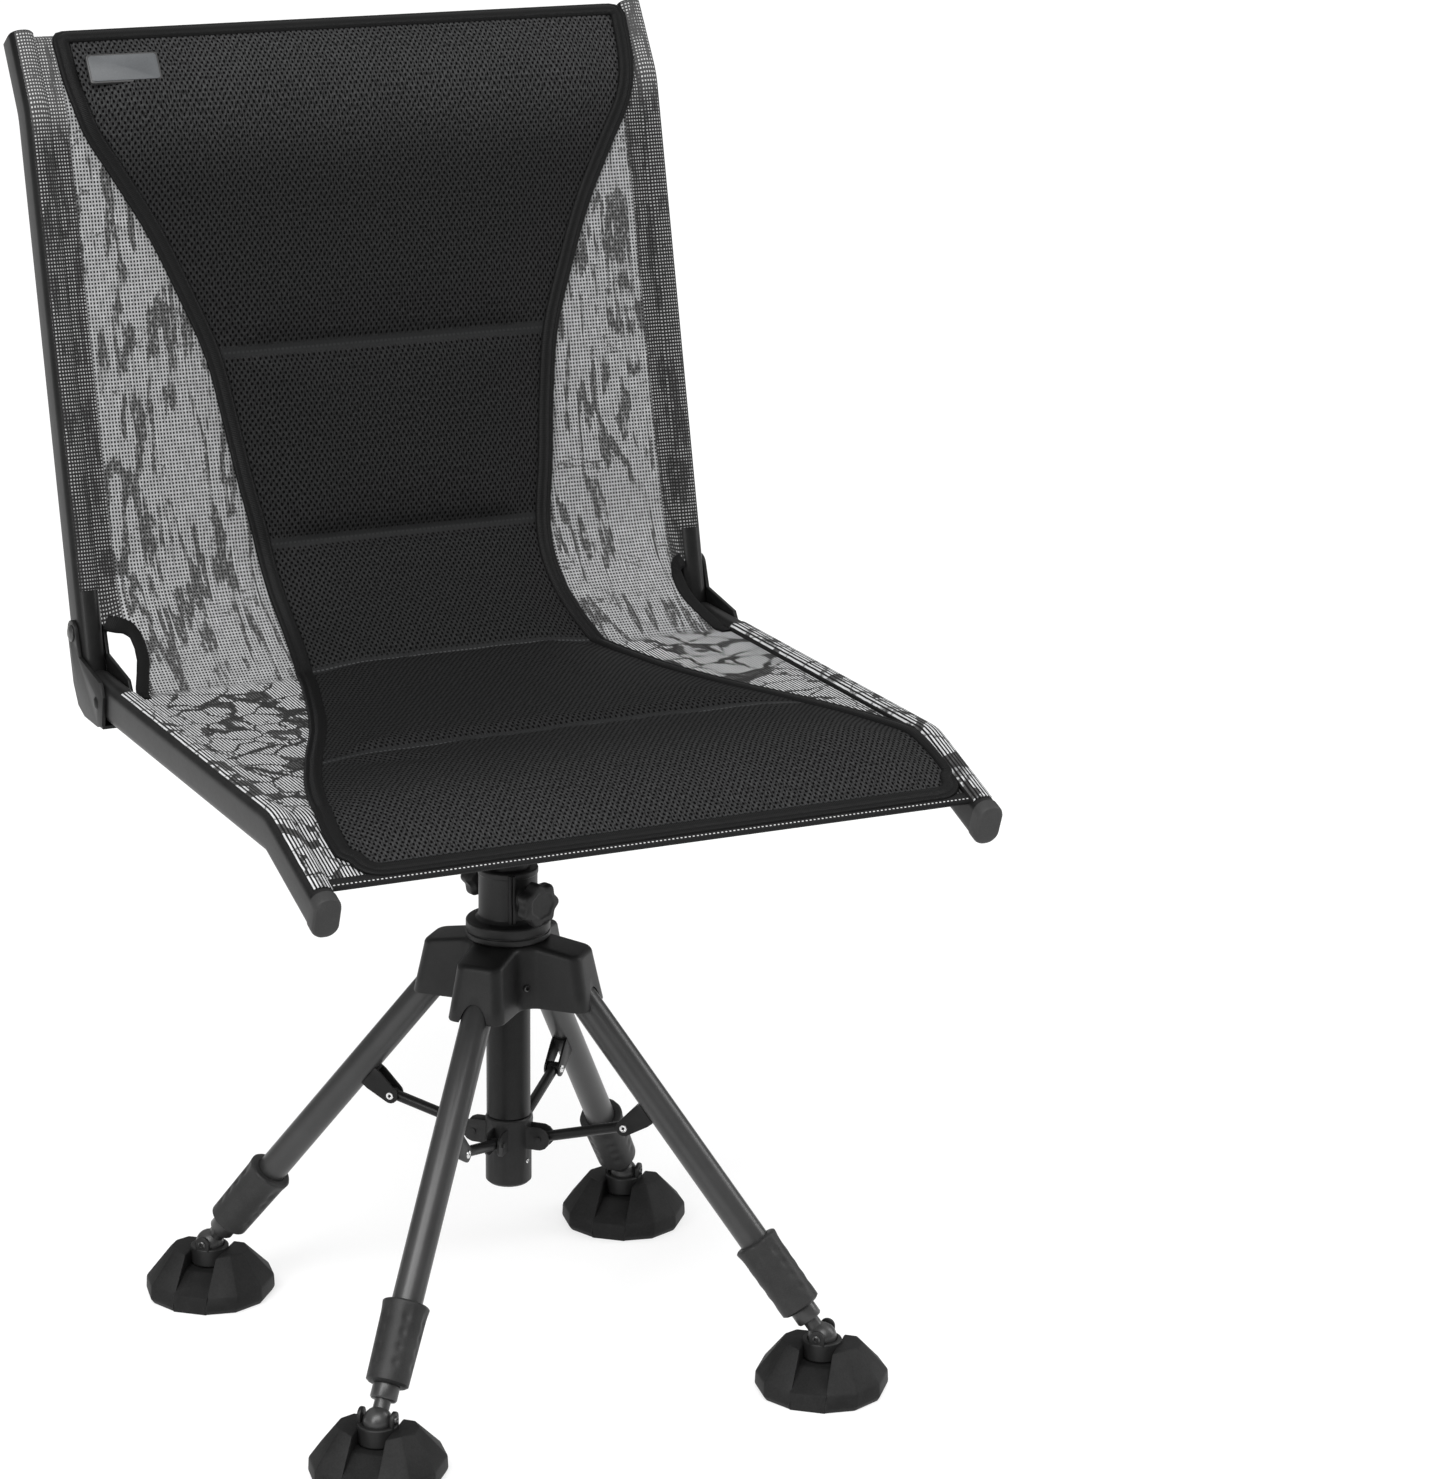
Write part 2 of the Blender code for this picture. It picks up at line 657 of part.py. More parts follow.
def make_hub(mats):
    hub = None
    slots = []
    for name, degrees in LEG_AZIMUTHS.items():
        turn = (0, 0, math.radians(degrees))
        lobe = prism("lobe_" + name, lobe_outline(), -LOBE_WIDTH / 2, LOBE_WIDTH / 2, mats["hub_plastic"])
        bevel = lobe.modifiers.new("edges", "BEVEL")
        bevel.width = 0.0035
        bevel.segments = 2
        bevel.limit_method = "ANGLE"
        bevel.angle_limit = math.radians(40)
        place(lobe, (0, COLUMN_Y, 0), turn)
        slot = prism("slot_" + name, slot_outline(), -LEG_R - 0.0008, LEG_R + 0.0008, None)
        place(slot, (0, COLUMN_Y, 0), turn)
        bore = rod("hub_pin_bore_" + name, PIN_R + 0.0006 + GAP, -0.019, 0.019, None, 12)
        azimuth = math.radians(degrees)
        r0, z0 = LEG_PIVOT
        place(bore, (r0 * math.cos(azimuth), COLUMN_Y + r0 * math.sin(azimuth), z0), across(azimuth))
        slots += [slot, bore]
        if hub is None:
            hub = lobe
            hub.name = "leg_hub"
        else:
            unite(hub, lobe)
    core = rod("hub_core", 0.0305, HUB_BOTTOM, HUB_TOP, None, 32)
    place(core, (0, COLUMN_Y, 0))
    unite(hub, core)
    bore = rod("hub_bore", HUB_BORE, HUB_BOTTOM - 0.01, HUB_TOP + 0.01, None, 32)
    place(bore, (0, COLUMN_Y, 0))
    cut(hub, bore, *slots)


def across(azimuth):
    """Rotation that lays local Z along the tangent of a leg's plane."""
    return (-math.pi / 2, 0, azimuth)


# ---------------------------------------------------------------- collar and struts
def strut_geometry():
    out = Vector((math.cos(LEG_ANGLE), math.sin(LEG_ANGLE)))
    along = Vector((math.sin(LEG_ANGLE), -math.cos(LEG_ANGLE)))
    pin = Vector(LEG_PIVOT) + along * BRACKET_AT - out * BRACKET_OUT
    ear = Vector(EAR_PIVOT)
    reach = pin - ear
    return ear, pin, reach.length, math.atan2(reach.y, reach.x)


def make_collar(mats):
    """Sliding collar with its guide tube and four pairs of pinned ears."""
    profile = [(GUIDE_BORE, COLLAR_BOTTOM + 0.003), (GUIDE_BORE, GUIDE_TOP), (GUIDE_R, GUIDE_TOP),
               (GUIDE_R, COLLAR_TOP), (COLLAR_R - 0.001, COLLAR_TOP), (COLLAR_R, COLLAR_TOP - 0.001),
               (COLLAR_R, COLLAR_BOTTOM + 0.002), (COLLAR_R - 0.002, COLLAR_BOTTOM),
               (GUIDE_BORE - 0.002, COLLAR_BOTTOM), (GUIDE_BORE - 0.002, COLLAR_BOTTOM + 0.003)]
    collar = turned("sliding_collar", profile, mats["hub_plastic"], 28)
    place(collar, (0, COLUMN_Y, 0))
    er, ez = EAR_PIVOT
    ear = [(0.0135, ez - 0.0085), (er - 0.001, ez - 0.0085)] + arc(er, ez, 0.0085, -80, 80, 6)
    ear += [(er - 0.001, ez + 0.0085), (0.0135, ez + 0.0085)]
    for name, degrees in LEG_AZIMUTHS.items():
        turn = (0, 0, math.radians(degrees))
        for tag, sign in (("a", -1), ("b", 1)):
            y0, y1 = sorted((sign * SLOT / 2, sign * (SLOT / 2 + CHEEK_T)))
            plate = prism("ear_%s_%s" % (name, tag), ear, y0, y1, None)
            place(plate, (0, COLUMN_Y, 0), turn)
            unite(collar, plate)
        azimuth = math.radians(degrees)
        half = SLOT / 2 + CHEEK_T + 0.0012
        pin = rod("ear_pin_" + name, PIN_R, -half, half, None, 12)
        place(pin, (er * math.cos(azimuth), COLUMN_Y + er * math.sin(azimuth), ez), across(azimuth))
        unite(collar, pin)


def make_struts(mats):
    ear, _, length, rise = strut_geometry()
    for name, degrees in LEG_AZIMUTHS.items():
        azimuth = math.radians(degrees)
        frame = empty("strut_pivot_" + name, (ear.x * math.cos(azimuth), COLUMN_Y + ear.x * math.sin(azimuth),
                                              ear.y), (0, -rise, azimuth))
        strut = rod("strut_" + name, STRUT_R, 0.0035, length - 0.0035, mats["leg_metal"], 14)
        place(strut, (0, 0, 0), (0, 0, 0), frame)
        strut.data.transform(Matrix.Rotation(math.pi / 2, 4, "Y"))
        for tag, at in (("inner", 0.0), ("outer", length)):
            eye = rod("eye_%s_%s" % (tag, name), EYE_R, -EYE_T / 2, EYE_T / 2, None, 16)
            place(eye, (at, 0, 0), (-math.pi / 2, 0, 0), frame)
            unite(strut, eye)
        bore = rod("strut_bore_" + name, PIN_R + GAP, -0.01, 0.01, None, 12)
        place(bore, (0, 0, 0), (-math.pi / 2, 0, 0), frame)
        cut(strut, bore)


# ---------------------------------------------------------------- legs
def leg_frame(name, degrees):
    """Empty on the leg's pivot whose local -Z runs down the leg and whose +X faces out and up."""
    azimuth = math.radians(degrees)
    r0, z0 = LEG_PIVOT
    where = (r0 * math.cos(azimuth), COLUMN_Y + r0 * math.sin(azimuth), z0)
    return empty("leg_pivot_" + name, where, (0, -LEG_ANGLE, azimuth))


def make_leg_tube(name, frame, mat):
    tube = pipe("leg_tube_" + name, LEG_R, LEG_BORE, -LEG_END, LEG_TOP, mat, 24)
    place(tube, parent=frame)
    plug = rod("leg_plug_" + name, LEG_R, -0.014, LEG_TOP, None, 24)
    place(plug, parent=frame)
    unite(tube, plug)
    bore = rod("leg_bore_" + name, PIN_R + 0.0006 + GAP, -0.02, 0.02, None, 12)
    place(bore, (0, 0, 0), (-math.pi / 2, 0, 0), frame)
    cut(tube, bore)


def make_leg_pin(name, frame, mat):
    pin = rod("leg_pin_" + name, PIN_R + 0.0006, -0.0185, 0.0185, mat, 12)
    place(pin, (0, 0, 0), (-math.pi / 2, 0, 0), frame)


def make_grip(name, frame, mat):
    """Moulded grip over the tube's lower end, flared at its top edge."""
    bore = LEG_R + GAP
    profile = [(bore, -GRIP_START), (bore, -LEG_END - GAP), (LOWER_R + 0.0006, -LEG_END - GAP),
               (LOWER_R + 0.0006, -GRIP_END), (GRIP_R - 0.0030, -GRIP_END), (GRIP_R - 0.0012, -GRIP_END + 0.003),
               (GRIP_R - 0.0006, -GRIP_START - 0.012), (GRIP_R + 0.0008, -GRIP_START - 0.006),
               (GRIP_R + 0.0004, -GRIP_START - 0.001), (GRIP_R - 0.0012, -GRIP_START)]
    place(turned("leg_grip_" + name, profile, mat, 24), parent=frame)


def make_bracket(name, frame, mat):
    """Clevis riveted to the inner side of the leg, open between its cheeks for the strut's eye."""
    reach = BRACKET_OUT + 0.0060
    start = LEG_R - 0.0045
    out = arc(-BRACKET_OUT, -BRACKET_AT, 0.0060, 90, 270, 8)
    cheek = [(-start, -BRACKET_AT + 0.0085)] + [(-LEG_R - 0.004, -BRACKET_AT + 0.0085)] + out
    cheek += [(-LEG_R - 0.004, -BRACKET_AT - 0.0085), (-start, -BRACKET_AT - 0.0085)]
    half = SLOT / 2 + CHEEK_T
    body = prism("leg_bracket_" + name, cheek, -half, half, mat)
    place(body, parent=frame)
    throat = box("throat_" + name, (-reach - 0.01, -SLOT / 2, -BRACKET_AT - 0.012),
                 (-LEG_R - 0.0013, SLOT / 2, -BRACKET_AT + 0.012), None)
    place(throat, parent=frame)
    seat = rod("bracket_seat_" + name, LEG_R + GAP, -BRACKET_AT - 0.03, -BRACKET_AT + 0.03, None, 24)
    place(seat, parent=frame)
    cut(body, throat, seat)


def make_lower_leg(name, frame, mat):
    """Telescoping inner tube with its ferrule, stem and ball."""
    bm = bmesh.new()
    levels = [(LOWER_R, -LOWER_TOP), (LOWER_R, -GRIP_END - GAP), (FERRULE_R, -GRIP_END - GAP - 0.0001),
              (FERRULE_R, -FERRULE_END), (STEM_R, -FERRULE_END - 0.001)]
    neck = math.sqrt(BALL_R ** 2 - STEM_R ** 2)
    start = math.degrees(math.atan2(neck, STEM_R))
    levels.append((STEM_R, -BALL_AT + neck))
    for i in range(1, 8):
        a = math.radians(start + (-90 - start) * i / 8)
        levels.append((BALL_R * math.cos(a), -BALL_AT + BALL_R * math.sin(a)))
    levels.append((0.0008, -BALL_AT - BALL_R))
    loft(bm, [circle(r, z, 20) for r, z in levels])
    place(add_object("lower_leg_" + name, bm, mat), parent=frame)


def foot_place(degrees):
    azimuth = math.radians(degrees)
    r = LEG_PIVOT[0] + BALL_AT * math.sin(LEG_ANGLE)
    z = LEG_PIVOT[1] - BALL_AT * math.cos(LEG_ANGLE)
    return (r * math.cos(azimuth), COLUMN_Y + r * math.sin(azimuth), z), azimuth


def make_foot(name, degrees, mat):
    """Faceted eight-sided foot with a saddle across it and a pocket for the ball clamp."""
    centre, azimuth = foot_place(degrees)
    floor = -centre[2]
    bm = bmesh.new()

    def octagon(r, z):
        step = math.radians(45)
        return [(r * math.cos(step * (i + 0.5)), r * math.sin(step * (i + 0.5)), floor + z) for i in range(8)]

    loft(bm, [octagon(FOOT_R - 0.004, 0.0), octagon(FOOT_R, 0.004), octagon(FOOT_R, FOOT_EDGE),
              octagon(0.037, 0.028), octagon(0.024, FOOT_TOP)])
    foot = add_object("foot_" + name, bm, mat, smooth=False)
    place(foot, centre, (0, 0, azimuth))
    groove = prism("groove_" + name, [(-0.07, -0.002), (-0.04, -0.0120), (0.04, -0.0120), (0.07, -0.002),
                                      (0.07, 0.03), (-0.07, 0.03)], -0.0100, 0.0100, None)
    place(groove, centre, (0, 0, azimuth))
    pocket = rod("pocket_" + name, CLAMP_R + GAP, -0.0150 - GAP, 0.02, None, 20)
    place(pocket, centre, (0, 0, azimuth))
    cut(foot, groove, pocket)


def make_clamp(name, degrees, mat):
    """Cup and two cheeks that hold the ball in the foot, open fore and aft for the stem's swing."""
    centre, azimuth = foot_place(degrees)
    bore = BALL_R + GAP
    rim = -0.0010
    profile = [(0.0006, -0.0150), (CLAMP_R, -0.0150), (CLAMP_R, rim)]
    for i in range(7):
        a = math.asin(rim / bore) + (-math.pi / 2 + 0.05 - math.asin(rim / bore)) * i / 6
        profile.append((bore * math.cos(a), bore * math.sin(a)))
    bm = bmesh.new()
    loft(bm, [circle(r, z, 20) for r, z in profile])
    clamp = add_object("ball_clamp_" + name, bm, mat)
    place(clamp, centre, (0, 0, azimuth))
    top = arc(0.0, 0.0040, 0.0052, 0, 180, 8)
    for tag, sign in (("a", -1), ("b", 1)):
        y0, y1 = sorted((sign * (bore + 0.0003), sign * (CLAMP_R - 0.0011)))
        cheek = prism("cheek_%s_%s" % (name, tag), top + [(-0.0052, -0.006), (0.0052, -0.006)], y0, y1, None)
        place(cheek, centre, (0, 0, azimuth))
        unite(clamp, cheek)


def make_legs(mats):
    for name, degrees in LEG_AZIMUTHS.items():
        frame = leg_frame(name, degrees)
        make_leg_tube(name, frame, mats["leg_metal"])
        make_leg_pin(name, frame, mats["bright_steel"])
        make_grip(name, frame, mats["grip_plastic"])
        make_bracket(name, frame, mats["powder_coat"])
        make_lower_leg(name, frame, mats["leg_metal"])
        make_foot(name, degrees, mats["foot_rubber"])
        make_clamp(name, degrees, mats["hub_plastic"])


def main():
    clear_scene()
    mats = make_materials()
    make_seat_rails(mats)
    make_end_caps(mats)
    make_brackets(mats)
    make_hinge_fasteners(mats)
    make_back_rails(mats)
    make_top_tube(mats)
    make_seat_soft(mats)
    make_back_soft(mats)
    make_cross_bars(mats)
    make_socket(mats, make_seat_plate(mats))
    make_column(mats)
    for name, (azimuth, z) in KNOBS.items():
        make_knob(name, azimuth, z, mats["grip_plastic"])
    make_hub(mats)
    make_collar(mats)
    make_struts(mats)
    make_legs(mats)


main()
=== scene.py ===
"""Blind swivel chair: the visual model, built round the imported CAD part."""

import bmesh
import bpy
import json
import math
from functools import partialmethod, reduce
from math import cos, pi, radians, sin, sqrt

import numpy as np
from mathutils import Matrix, Vector, noise
from mathutils.bvhtree import BVHTree

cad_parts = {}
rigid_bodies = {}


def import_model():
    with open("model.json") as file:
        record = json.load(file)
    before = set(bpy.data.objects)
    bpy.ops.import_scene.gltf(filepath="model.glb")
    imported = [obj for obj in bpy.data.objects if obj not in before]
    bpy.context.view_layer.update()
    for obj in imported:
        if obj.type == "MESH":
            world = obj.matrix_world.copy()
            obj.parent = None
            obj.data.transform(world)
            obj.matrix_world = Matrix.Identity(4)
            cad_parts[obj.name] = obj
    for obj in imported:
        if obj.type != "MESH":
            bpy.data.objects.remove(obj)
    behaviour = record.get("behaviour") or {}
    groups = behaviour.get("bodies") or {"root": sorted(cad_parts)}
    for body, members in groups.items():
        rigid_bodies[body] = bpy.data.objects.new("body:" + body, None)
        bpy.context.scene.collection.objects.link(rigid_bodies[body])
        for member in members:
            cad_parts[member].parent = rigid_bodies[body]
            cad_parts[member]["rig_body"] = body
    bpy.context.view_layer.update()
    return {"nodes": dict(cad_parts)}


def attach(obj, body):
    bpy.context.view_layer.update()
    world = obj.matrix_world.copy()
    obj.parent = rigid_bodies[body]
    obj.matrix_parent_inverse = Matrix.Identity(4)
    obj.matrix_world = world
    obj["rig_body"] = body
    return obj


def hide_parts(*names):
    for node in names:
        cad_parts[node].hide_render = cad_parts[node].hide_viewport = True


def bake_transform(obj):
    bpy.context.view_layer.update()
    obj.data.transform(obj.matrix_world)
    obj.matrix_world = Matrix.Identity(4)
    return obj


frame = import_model()
nodes = frame["nodes"]

# Measures in metres, as in the CAD. The side view is worked in (y, z), and a place on the back is its distance up
# the back's centre line from the hinge.
COLUMN_Y = -0.036
COLUMN = Matrix.Translation((0, COLUMN_Y, 0))
RAIL_X = 0.241
RAIL_SIZE, RAIL_CORNER = (0.018, 0.030), 0.0082
SEAT_Z, SEAT_FACE_Z = 0.478, 0.488
SEAT_REAR_Y, SEAT_BEND_Y = 0.1472, -0.218
SEAT_DIP = radians(20.0)
CREASE = Vector((0.091, 0.4875))
HINGE = Vector((0.175, 0.515))
LEAN, LEAN2 = radians(13.8), radians(32.8)
UP, UP2 = Vector((sin(LEAN), cos(LEAN))), Vector((sin(LEAN2), cos(LEAN2)))
FRONT, FRONT2 = Vector((-UP.y, UP.x)), Vector((-UP2.y, UP2.x))
BEND_S = 0.375   # where the back leans further
FACE = 0.0115    # from the back's centre line to the sling
BACK_BEND = HINGE + UP * BEND_S
LEGS = {"front_left": -135.0, "front_right": -45.0, "rear_right": 45.0, "rear_left": 135.0}
LEG_ANGLE = radians(38.3)
LEG_PIVOT = (0.043, 0.293)
LEG_LENGTH = 0.3227   # from the pivot to the ball
BALL_R = 0.0105
KNOBS = {"height_knob": (-75.0, 0.348), "lock_knob": (100.0, 0.352)}
SIDES = (("left", -1), ("right", 1))
HALF = 0.2334    # half the sling's width


# ---------------------------------------------------------------- materials
class Shader:
    """A Principled material and short calls for its nodes."""

    def __init__(self, name, **sockets):
        self.mat = bpy.data.materials.new(name)
        self.mat.use_nodes = True
        self.tree = self.mat.node_tree
        self.bsdf = self.tree.nodes["Principled BSDF"]
        for key, value in sockets.items():
            self.bsdf.inputs[key.replace("_", " ")].default_value = value

    def node(self, kind, **props):
        n = self.tree.nodes.new("ShaderNode" + kind)
        for key, value in props.items():
            setattr(n, key, value)
        return n

    def put(self, socket, value):
        if isinstance(value, bpy.types.NodeSocket):
            self.tree.links.new(value, socket)
        else:
            socket.default_value = value

    def math(self, op, *args, clamp=False):
        n = self.node("Math", operation=op, use_clamp=clamp)
        for i, a in enumerate(args):
            self.put(n.inputs[i], a)
        return n.outputs[0]

    add = partialmethod(math, "ADD")
    sub = partialmethod(math, "SUBTRACT")
    mul = partialmethod(math, "MULTIPLY")
    absolute = partialmethod(math, "ABSOLUTE")
    maximum = partialmethod(math, "MAXIMUM")
    cosine = partialmethod(math, "COSINE")
    sine = partialmethod(math, "SINE")

    def uv(self):
        n = self.node("UVMap", uv_map="flat")
        s = self.node("SeparateXYZ")
        self.tree.links.new(n.outputs[0], s.inputs[0])
        return n.outputs[0], s.outputs[0], s.outputs[1]

    def position(self):
        return self.node("TexCoord").outputs["Object"]

    def scaled(self, vector, factors):
        n = self.node("VectorMath", operation="MULTIPLY")
        self.put(n.inputs[0], vector)
        n.inputs[1].default_value = factors
        return n.outputs[0]

    def noise(self, vector, scale, detail=2.0, rough=0.5, distortion=0.0):
        n = self.node("TexNoise")
        self.put(n.inputs["Vector"], vector)
        n.inputs["Scale"].default_value = scale
        n.inputs["Detail"].default_value = detail
        n.inputs["Roughness"].default_value = rough
        n.inputs["Distortion"].default_value = distortion
        return n.outputs[0]

    def crack(self, vector, scale):
        """Distance to the nearest cell border of a Voronoi pattern."""
        n = self.node("TexVoronoi", feature="DISTANCE_TO_EDGE")
        self.put(n.inputs["Vector"], vector)
        n.inputs["Scale"].default_value = scale
        return n.outputs["Distance"]

    def step(self, value, low, high, a=0.0, b=1.0):
        n = self.node("MapRange", interpolation_type="SMOOTHSTEP")
        self.put(n.inputs[0], value)
        for i, v in enumerate((low, high, a, b)):
            self.put(n.inputs[i + 1], v)
        return n.outputs[0]

    def fall(self, value, low, high):
        """1 up to low and 0 from high on."""
        return self.step(value, low, high, 1.0, 0.0)

    def mix(self, factor, a, b):
        n = self.node("Mix", data_type="RGBA")
        self.put(n.inputs[0], factor)
        self.put(n.inputs[6], a)
        self.put(n.inputs[7], b)
        return n.outputs[2]

    def blend(self, factor, a, b):
        n = self.node("Mix", data_type="FLOAT")
        self.put(n.inputs[0], factor)
        self.put(n.inputs[2], a)
        self.put(n.inputs[3], b)
        return n.outputs[0]

    def colour(self, value):
        self.put(self.bsdf.inputs["Base Color"], value)

    def rough(self, value):
        self.put(self.bsdf.inputs["Roughness"], value)

    def bump(self, height, strength, distance):
        n = self.node("Bump")
        n.inputs["Strength"].default_value = strength
        n.inputs["Distance"].default_value = distance
        self.put(n.inputs["Height"], height)
        self.put(self.bsdf.inputs["Normal"], n.outputs[0])


def grey(v, warm=0.0):
    return (v * (1 + warm), v, v * (1 - warm), 1.0)


def yarn(v):
    """A grey with the cloth's slightly cool cast."""
    return grey(v, -0.01)


def hard_material(name, low, high, rough, grain, bump, metallic=0.0, warm=0.0, specular=0.5, spread=0.06):
    """Painted, moulded or anodised surface: mottled colour, uneven gloss and a fine grain."""
    s = Shader(name, Metallic=metallic, Specular_IOR_Level=specular)
    p = s.position()
    cloud = s.noise(p, 38.0, 4.0, 0.6)
    fine = s.noise(p, grain, 2.0, 0.55)
    mottle = s.step(s.add(s.mul(cloud, 0.6), s.mul(fine, 0.4)), 0.35, 0.65)
    s.colour(s.mix(mottle, grey(low, warm), grey(high, warm)))
    s.rough(s.add(rough - spread / 2, s.mul(s.noise(p, grain * 0.35, 3.0), spread)))
    s.bump(fine, bump, 0.0004)
    return s.mat


def fabric_sling():
    """Jacquard mesh: light yarn round small holes, with bark-like veins in a darker yarn."""
    s = Shader("sling_fabric", Specular_IOR_Level=0.12)
    uv, u, v = s.uv()
    seat = s.fall(v, T_CREASE - 0.010, T_CREASE + 0.002)
    off_seat = s.sub(1.0, seat)
    width = s.absolute(u)
    wobble = s.mul(s.sub(s.noise(uv, 120.0, 2.0), 0.5), 1.2)
    cu, cv = (s.cosine(s.add(s.mul(axis, 2 * pi / pitch), wobble)) for axis, pitch in ((u, 0.0024), (v, 0.0028)))
    # small upright holes on the back, long slits on the seat
    hole = s.blend(seat, s.mul(s.step(cu, -0.45, 0.25), s.step(cv, -0.50, 0.15)), s.step(cu, -0.40, 0.30))
    # veins on the back: broken upright lines of uneven width, with short bars across
    drift = s.noise(s.scaled(uv, (1.0, 0.16, 1.0)), 36.0, 4.0, 0.55, 0.25)
    spread = s.step(s.noise(uv, 26.0, 2.0), 0.32, 0.62, 0.86, 0.15)
    vein = s.step(s.sub(s.cosine(s.mul(drift, 2 * pi * 6.0)), spread), 0.0, 0.40)
    cross = s.noise(s.scaled(uv, (0.30, 1.0, 1.0)), 70.0, 2.0, 0.5)
    bars = s.mul(s.fall(s.absolute(s.sub(cross, 0.5)), 0.004, 0.014), s.step(s.noise(uv, 34.0, 2.0), 0.52, 0.57))
    fray = s.step(s.noise(s.scaled(uv, (1.0, 0.5, 1.0)), 420.0, 2.0), 0.30, 0.52, 0.35, 0.95)
    veins = s.mul(s.maximum(vein, s.mul(bars, 0.8)), fray)
    # cracks on the seat: thin dark borders of uneven cells, with darker fine mesh beside some of them
    shift = s.node("CombineXYZ")
    for i, (axis, scale, amount) in enumerate(((u, 45.0, 0.020), (v, 38.0, 0.024))):
        s.put(shift.inputs[i], s.add(axis, s.mul(s.noise(uv, scale, 3.0, 0.6), amount)))
    gap = s.crack(shift.outputs[0], 38.0)
    patch = s.fall(s.sub(gap, s.mul(s.step(s.noise(uv, 36.0, 3.0), 0.50, 0.66), 0.22)), -0.01, 0.03)
    dark = s.blend(seat, veins, patch)
    thread = s.noise(s.scaled(uv, (1.0, 0.16, 1.0)), 620.0, 2.0)
    light = s.mix(thread, s.mix(seat, yarn(0.12), yarn(0.28)), s.mix(seat, yarn(0.43), yarn(0.70)))
    cloth = s.mix(dark, light, s.mix(thread, grey(0.028), grey(0.085)))
    crack = s.mul(s.mul(s.fall(gap, 0.024, 0.052), seat), s.step(width, 0.214, 0.226, 0.95, 0.45))
    cloth = s.mix(hole, s.mix(crack, cloth, grey(0.010)), grey(0.006))
    # casing along the back rails: dense rows of short stitches, paler above the bend
    edge = s.mul(s.step(width, 0.2185, 0.2200), off_seat)
    row = s.step(s.cosine(s.mul(v, 2 * pi / 0.0026)), -0.2, 0.6)
    dash = s.step(s.cosine(s.add(s.mul(u, 2 * pi / 0.0021), s.mul(wobble, 2.0))), -0.4, 0.4)
    bead = s.mul(row, dash)
    pale = s.step(v, T_BEND - 0.03, T_BEND + 0.01)
    stitch = s.mix(thread, s.mix(pale, grey(0.20), grey(0.30)), s.mix(pale, grey(0.40), grey(0.60)))
    casing = s.mix(bead, s.mix(pale, grey(0.012), grey(0.05)), s.mix(dark, stitch, grey(0.07)))
    s.colour(s.mix(edge, cloth, casing))
    s.rough(s.blend(hole, 0.60, 0.95))
    s.bump(s.blend(edge, s.sub(1.0, hole), bead), 0.6, 0.0006)
    s.bsdf.inputs["Sheen Weight"].default_value = 0.05
    return s.mat


def fabric_pad(seams):
    """Black spacer mesh with staggered diamond holes, pressed smooth along its seams."""
    s = Shader("pad_mesh_fabric", Specular_IOR_Level=0.05)
    uv, u, v = s.uv()
    wobble = s.mul(s.sub(s.noise(uv, 90.0, 2.0), 0.5), 1.1)
    cu, cv = (s.cosine(s.add(s.mul(axis, pi / pitch), wobble)) for axis, pitch in ((u, 0.0021), (v, 0.0030)))
    bands, lines = [], []
    for at in seams:
        off = s.absolute(s.sub(v, at))
        bands.append(s.fall(off, 0.0030, 0.0052))
        lines.append(s.fall(off, 0.0005, 0.0011))
    pressed, line = reduce(s.maximum, bands), reduce(s.maximum, lines)
    dash = s.step(s.sine(s.mul(u, 2 * pi / 0.0034)), -0.5, 0.0)
    hole = s.mul(s.step(s.mul(cu, cv), 0.22, 0.62), s.sub(1.0, pressed))
    thread = s.noise(s.scaled(uv, (1.0, 0.35, 1.0)), 900.0, 2.0)
    # uneven patches for the painted highlight below
    highlight_patches = s.add(0.5, s.mul(s.noise(uv, 14.0, 3.0), 0.6))
    # painted highlight: the top of the back and the front of the seat are painted lighter, in uneven patches, where
    # they catch more light
    painted_highlight = s.add(s.step(v, T_BEND - 0.07, T_BEND + 0.03), s.step(v, 0.01, 0.15, 0.8, 0.0))
    lit = s.mix(s.mul(painted_highlight, highlight_patches, clamp=True), yarn(0.021), yarn(0.060))
    body = s.mix(s.step(thread, 0.20, 0.80), yarn(0.0060), lit)
    # seam bands: the pressed cloth without holes, its colour set a little lighter as a painted highlight on the smooth
    # band
    body = s.mix(s.mul(pressed, 0.8), body, grey(0.015, -0.02))
    shown = s.step(v, T_CREASE, T_CREASE + 0.02, 0.6, 0.12)
    body = s.mix(s.mul(s.mul(line, dash), shown), body, grey(0.07, -0.02))
    s.colour(s.mix(hole, body, grey(0.0012)))
    s.rough(s.blend(pressed, s.blend(hole, 0.58, 0.95), 0.42))
    s.bump(s.add(s.sub(1.0, hole), s.mul(thread, 0.3)), 0.8, 0.0009)
    return s.mat


def fabric_tape(name, low, high, rib, rough=0.5, dots=None):
    """Woven tape or binding: fine ribs across its length, and a row of light stitches when dots are given."""
    s = Shader(name, Specular_IOR_Level=0.08)
    uv, u, v = s.uv()
    fine = s.noise(uv, 1400.0, 2.0)
    body = s.mix(s.add(s.mul(fine, 0.7), s.mul(s.noise(uv, 60.0, 3.0), 0.3)), yarn(low), yarn(high))
    if dots:
        pitch, near, far, value = dots
        stitch = s.step(s.sine(s.mul(u, 2 * pi / pitch)), -0.1, 0.5)
        row = s.mul(s.step(v, near, near + 0.0002), s.fall(v, far - 0.0002, far))
        body = s.mix(s.mul(stitch, row), body, grey(value))
    s.colour(body)
    s.rough(s.add(rough - 0.05, s.mul(fine, 0.12)))
    s.bump(s.add(s.mul(s.sine(s.mul(u, 2 * pi / rib)), 0.5), fine), 0.35, 0.0004)
    return s.mat


# ---------------------------------------------------------------- mesh helpers
def linked(name, data):
    ob = bpy.data.objects.new(name, data)
    bpy.context.scene.collection.objects.link(ob)
    return ob


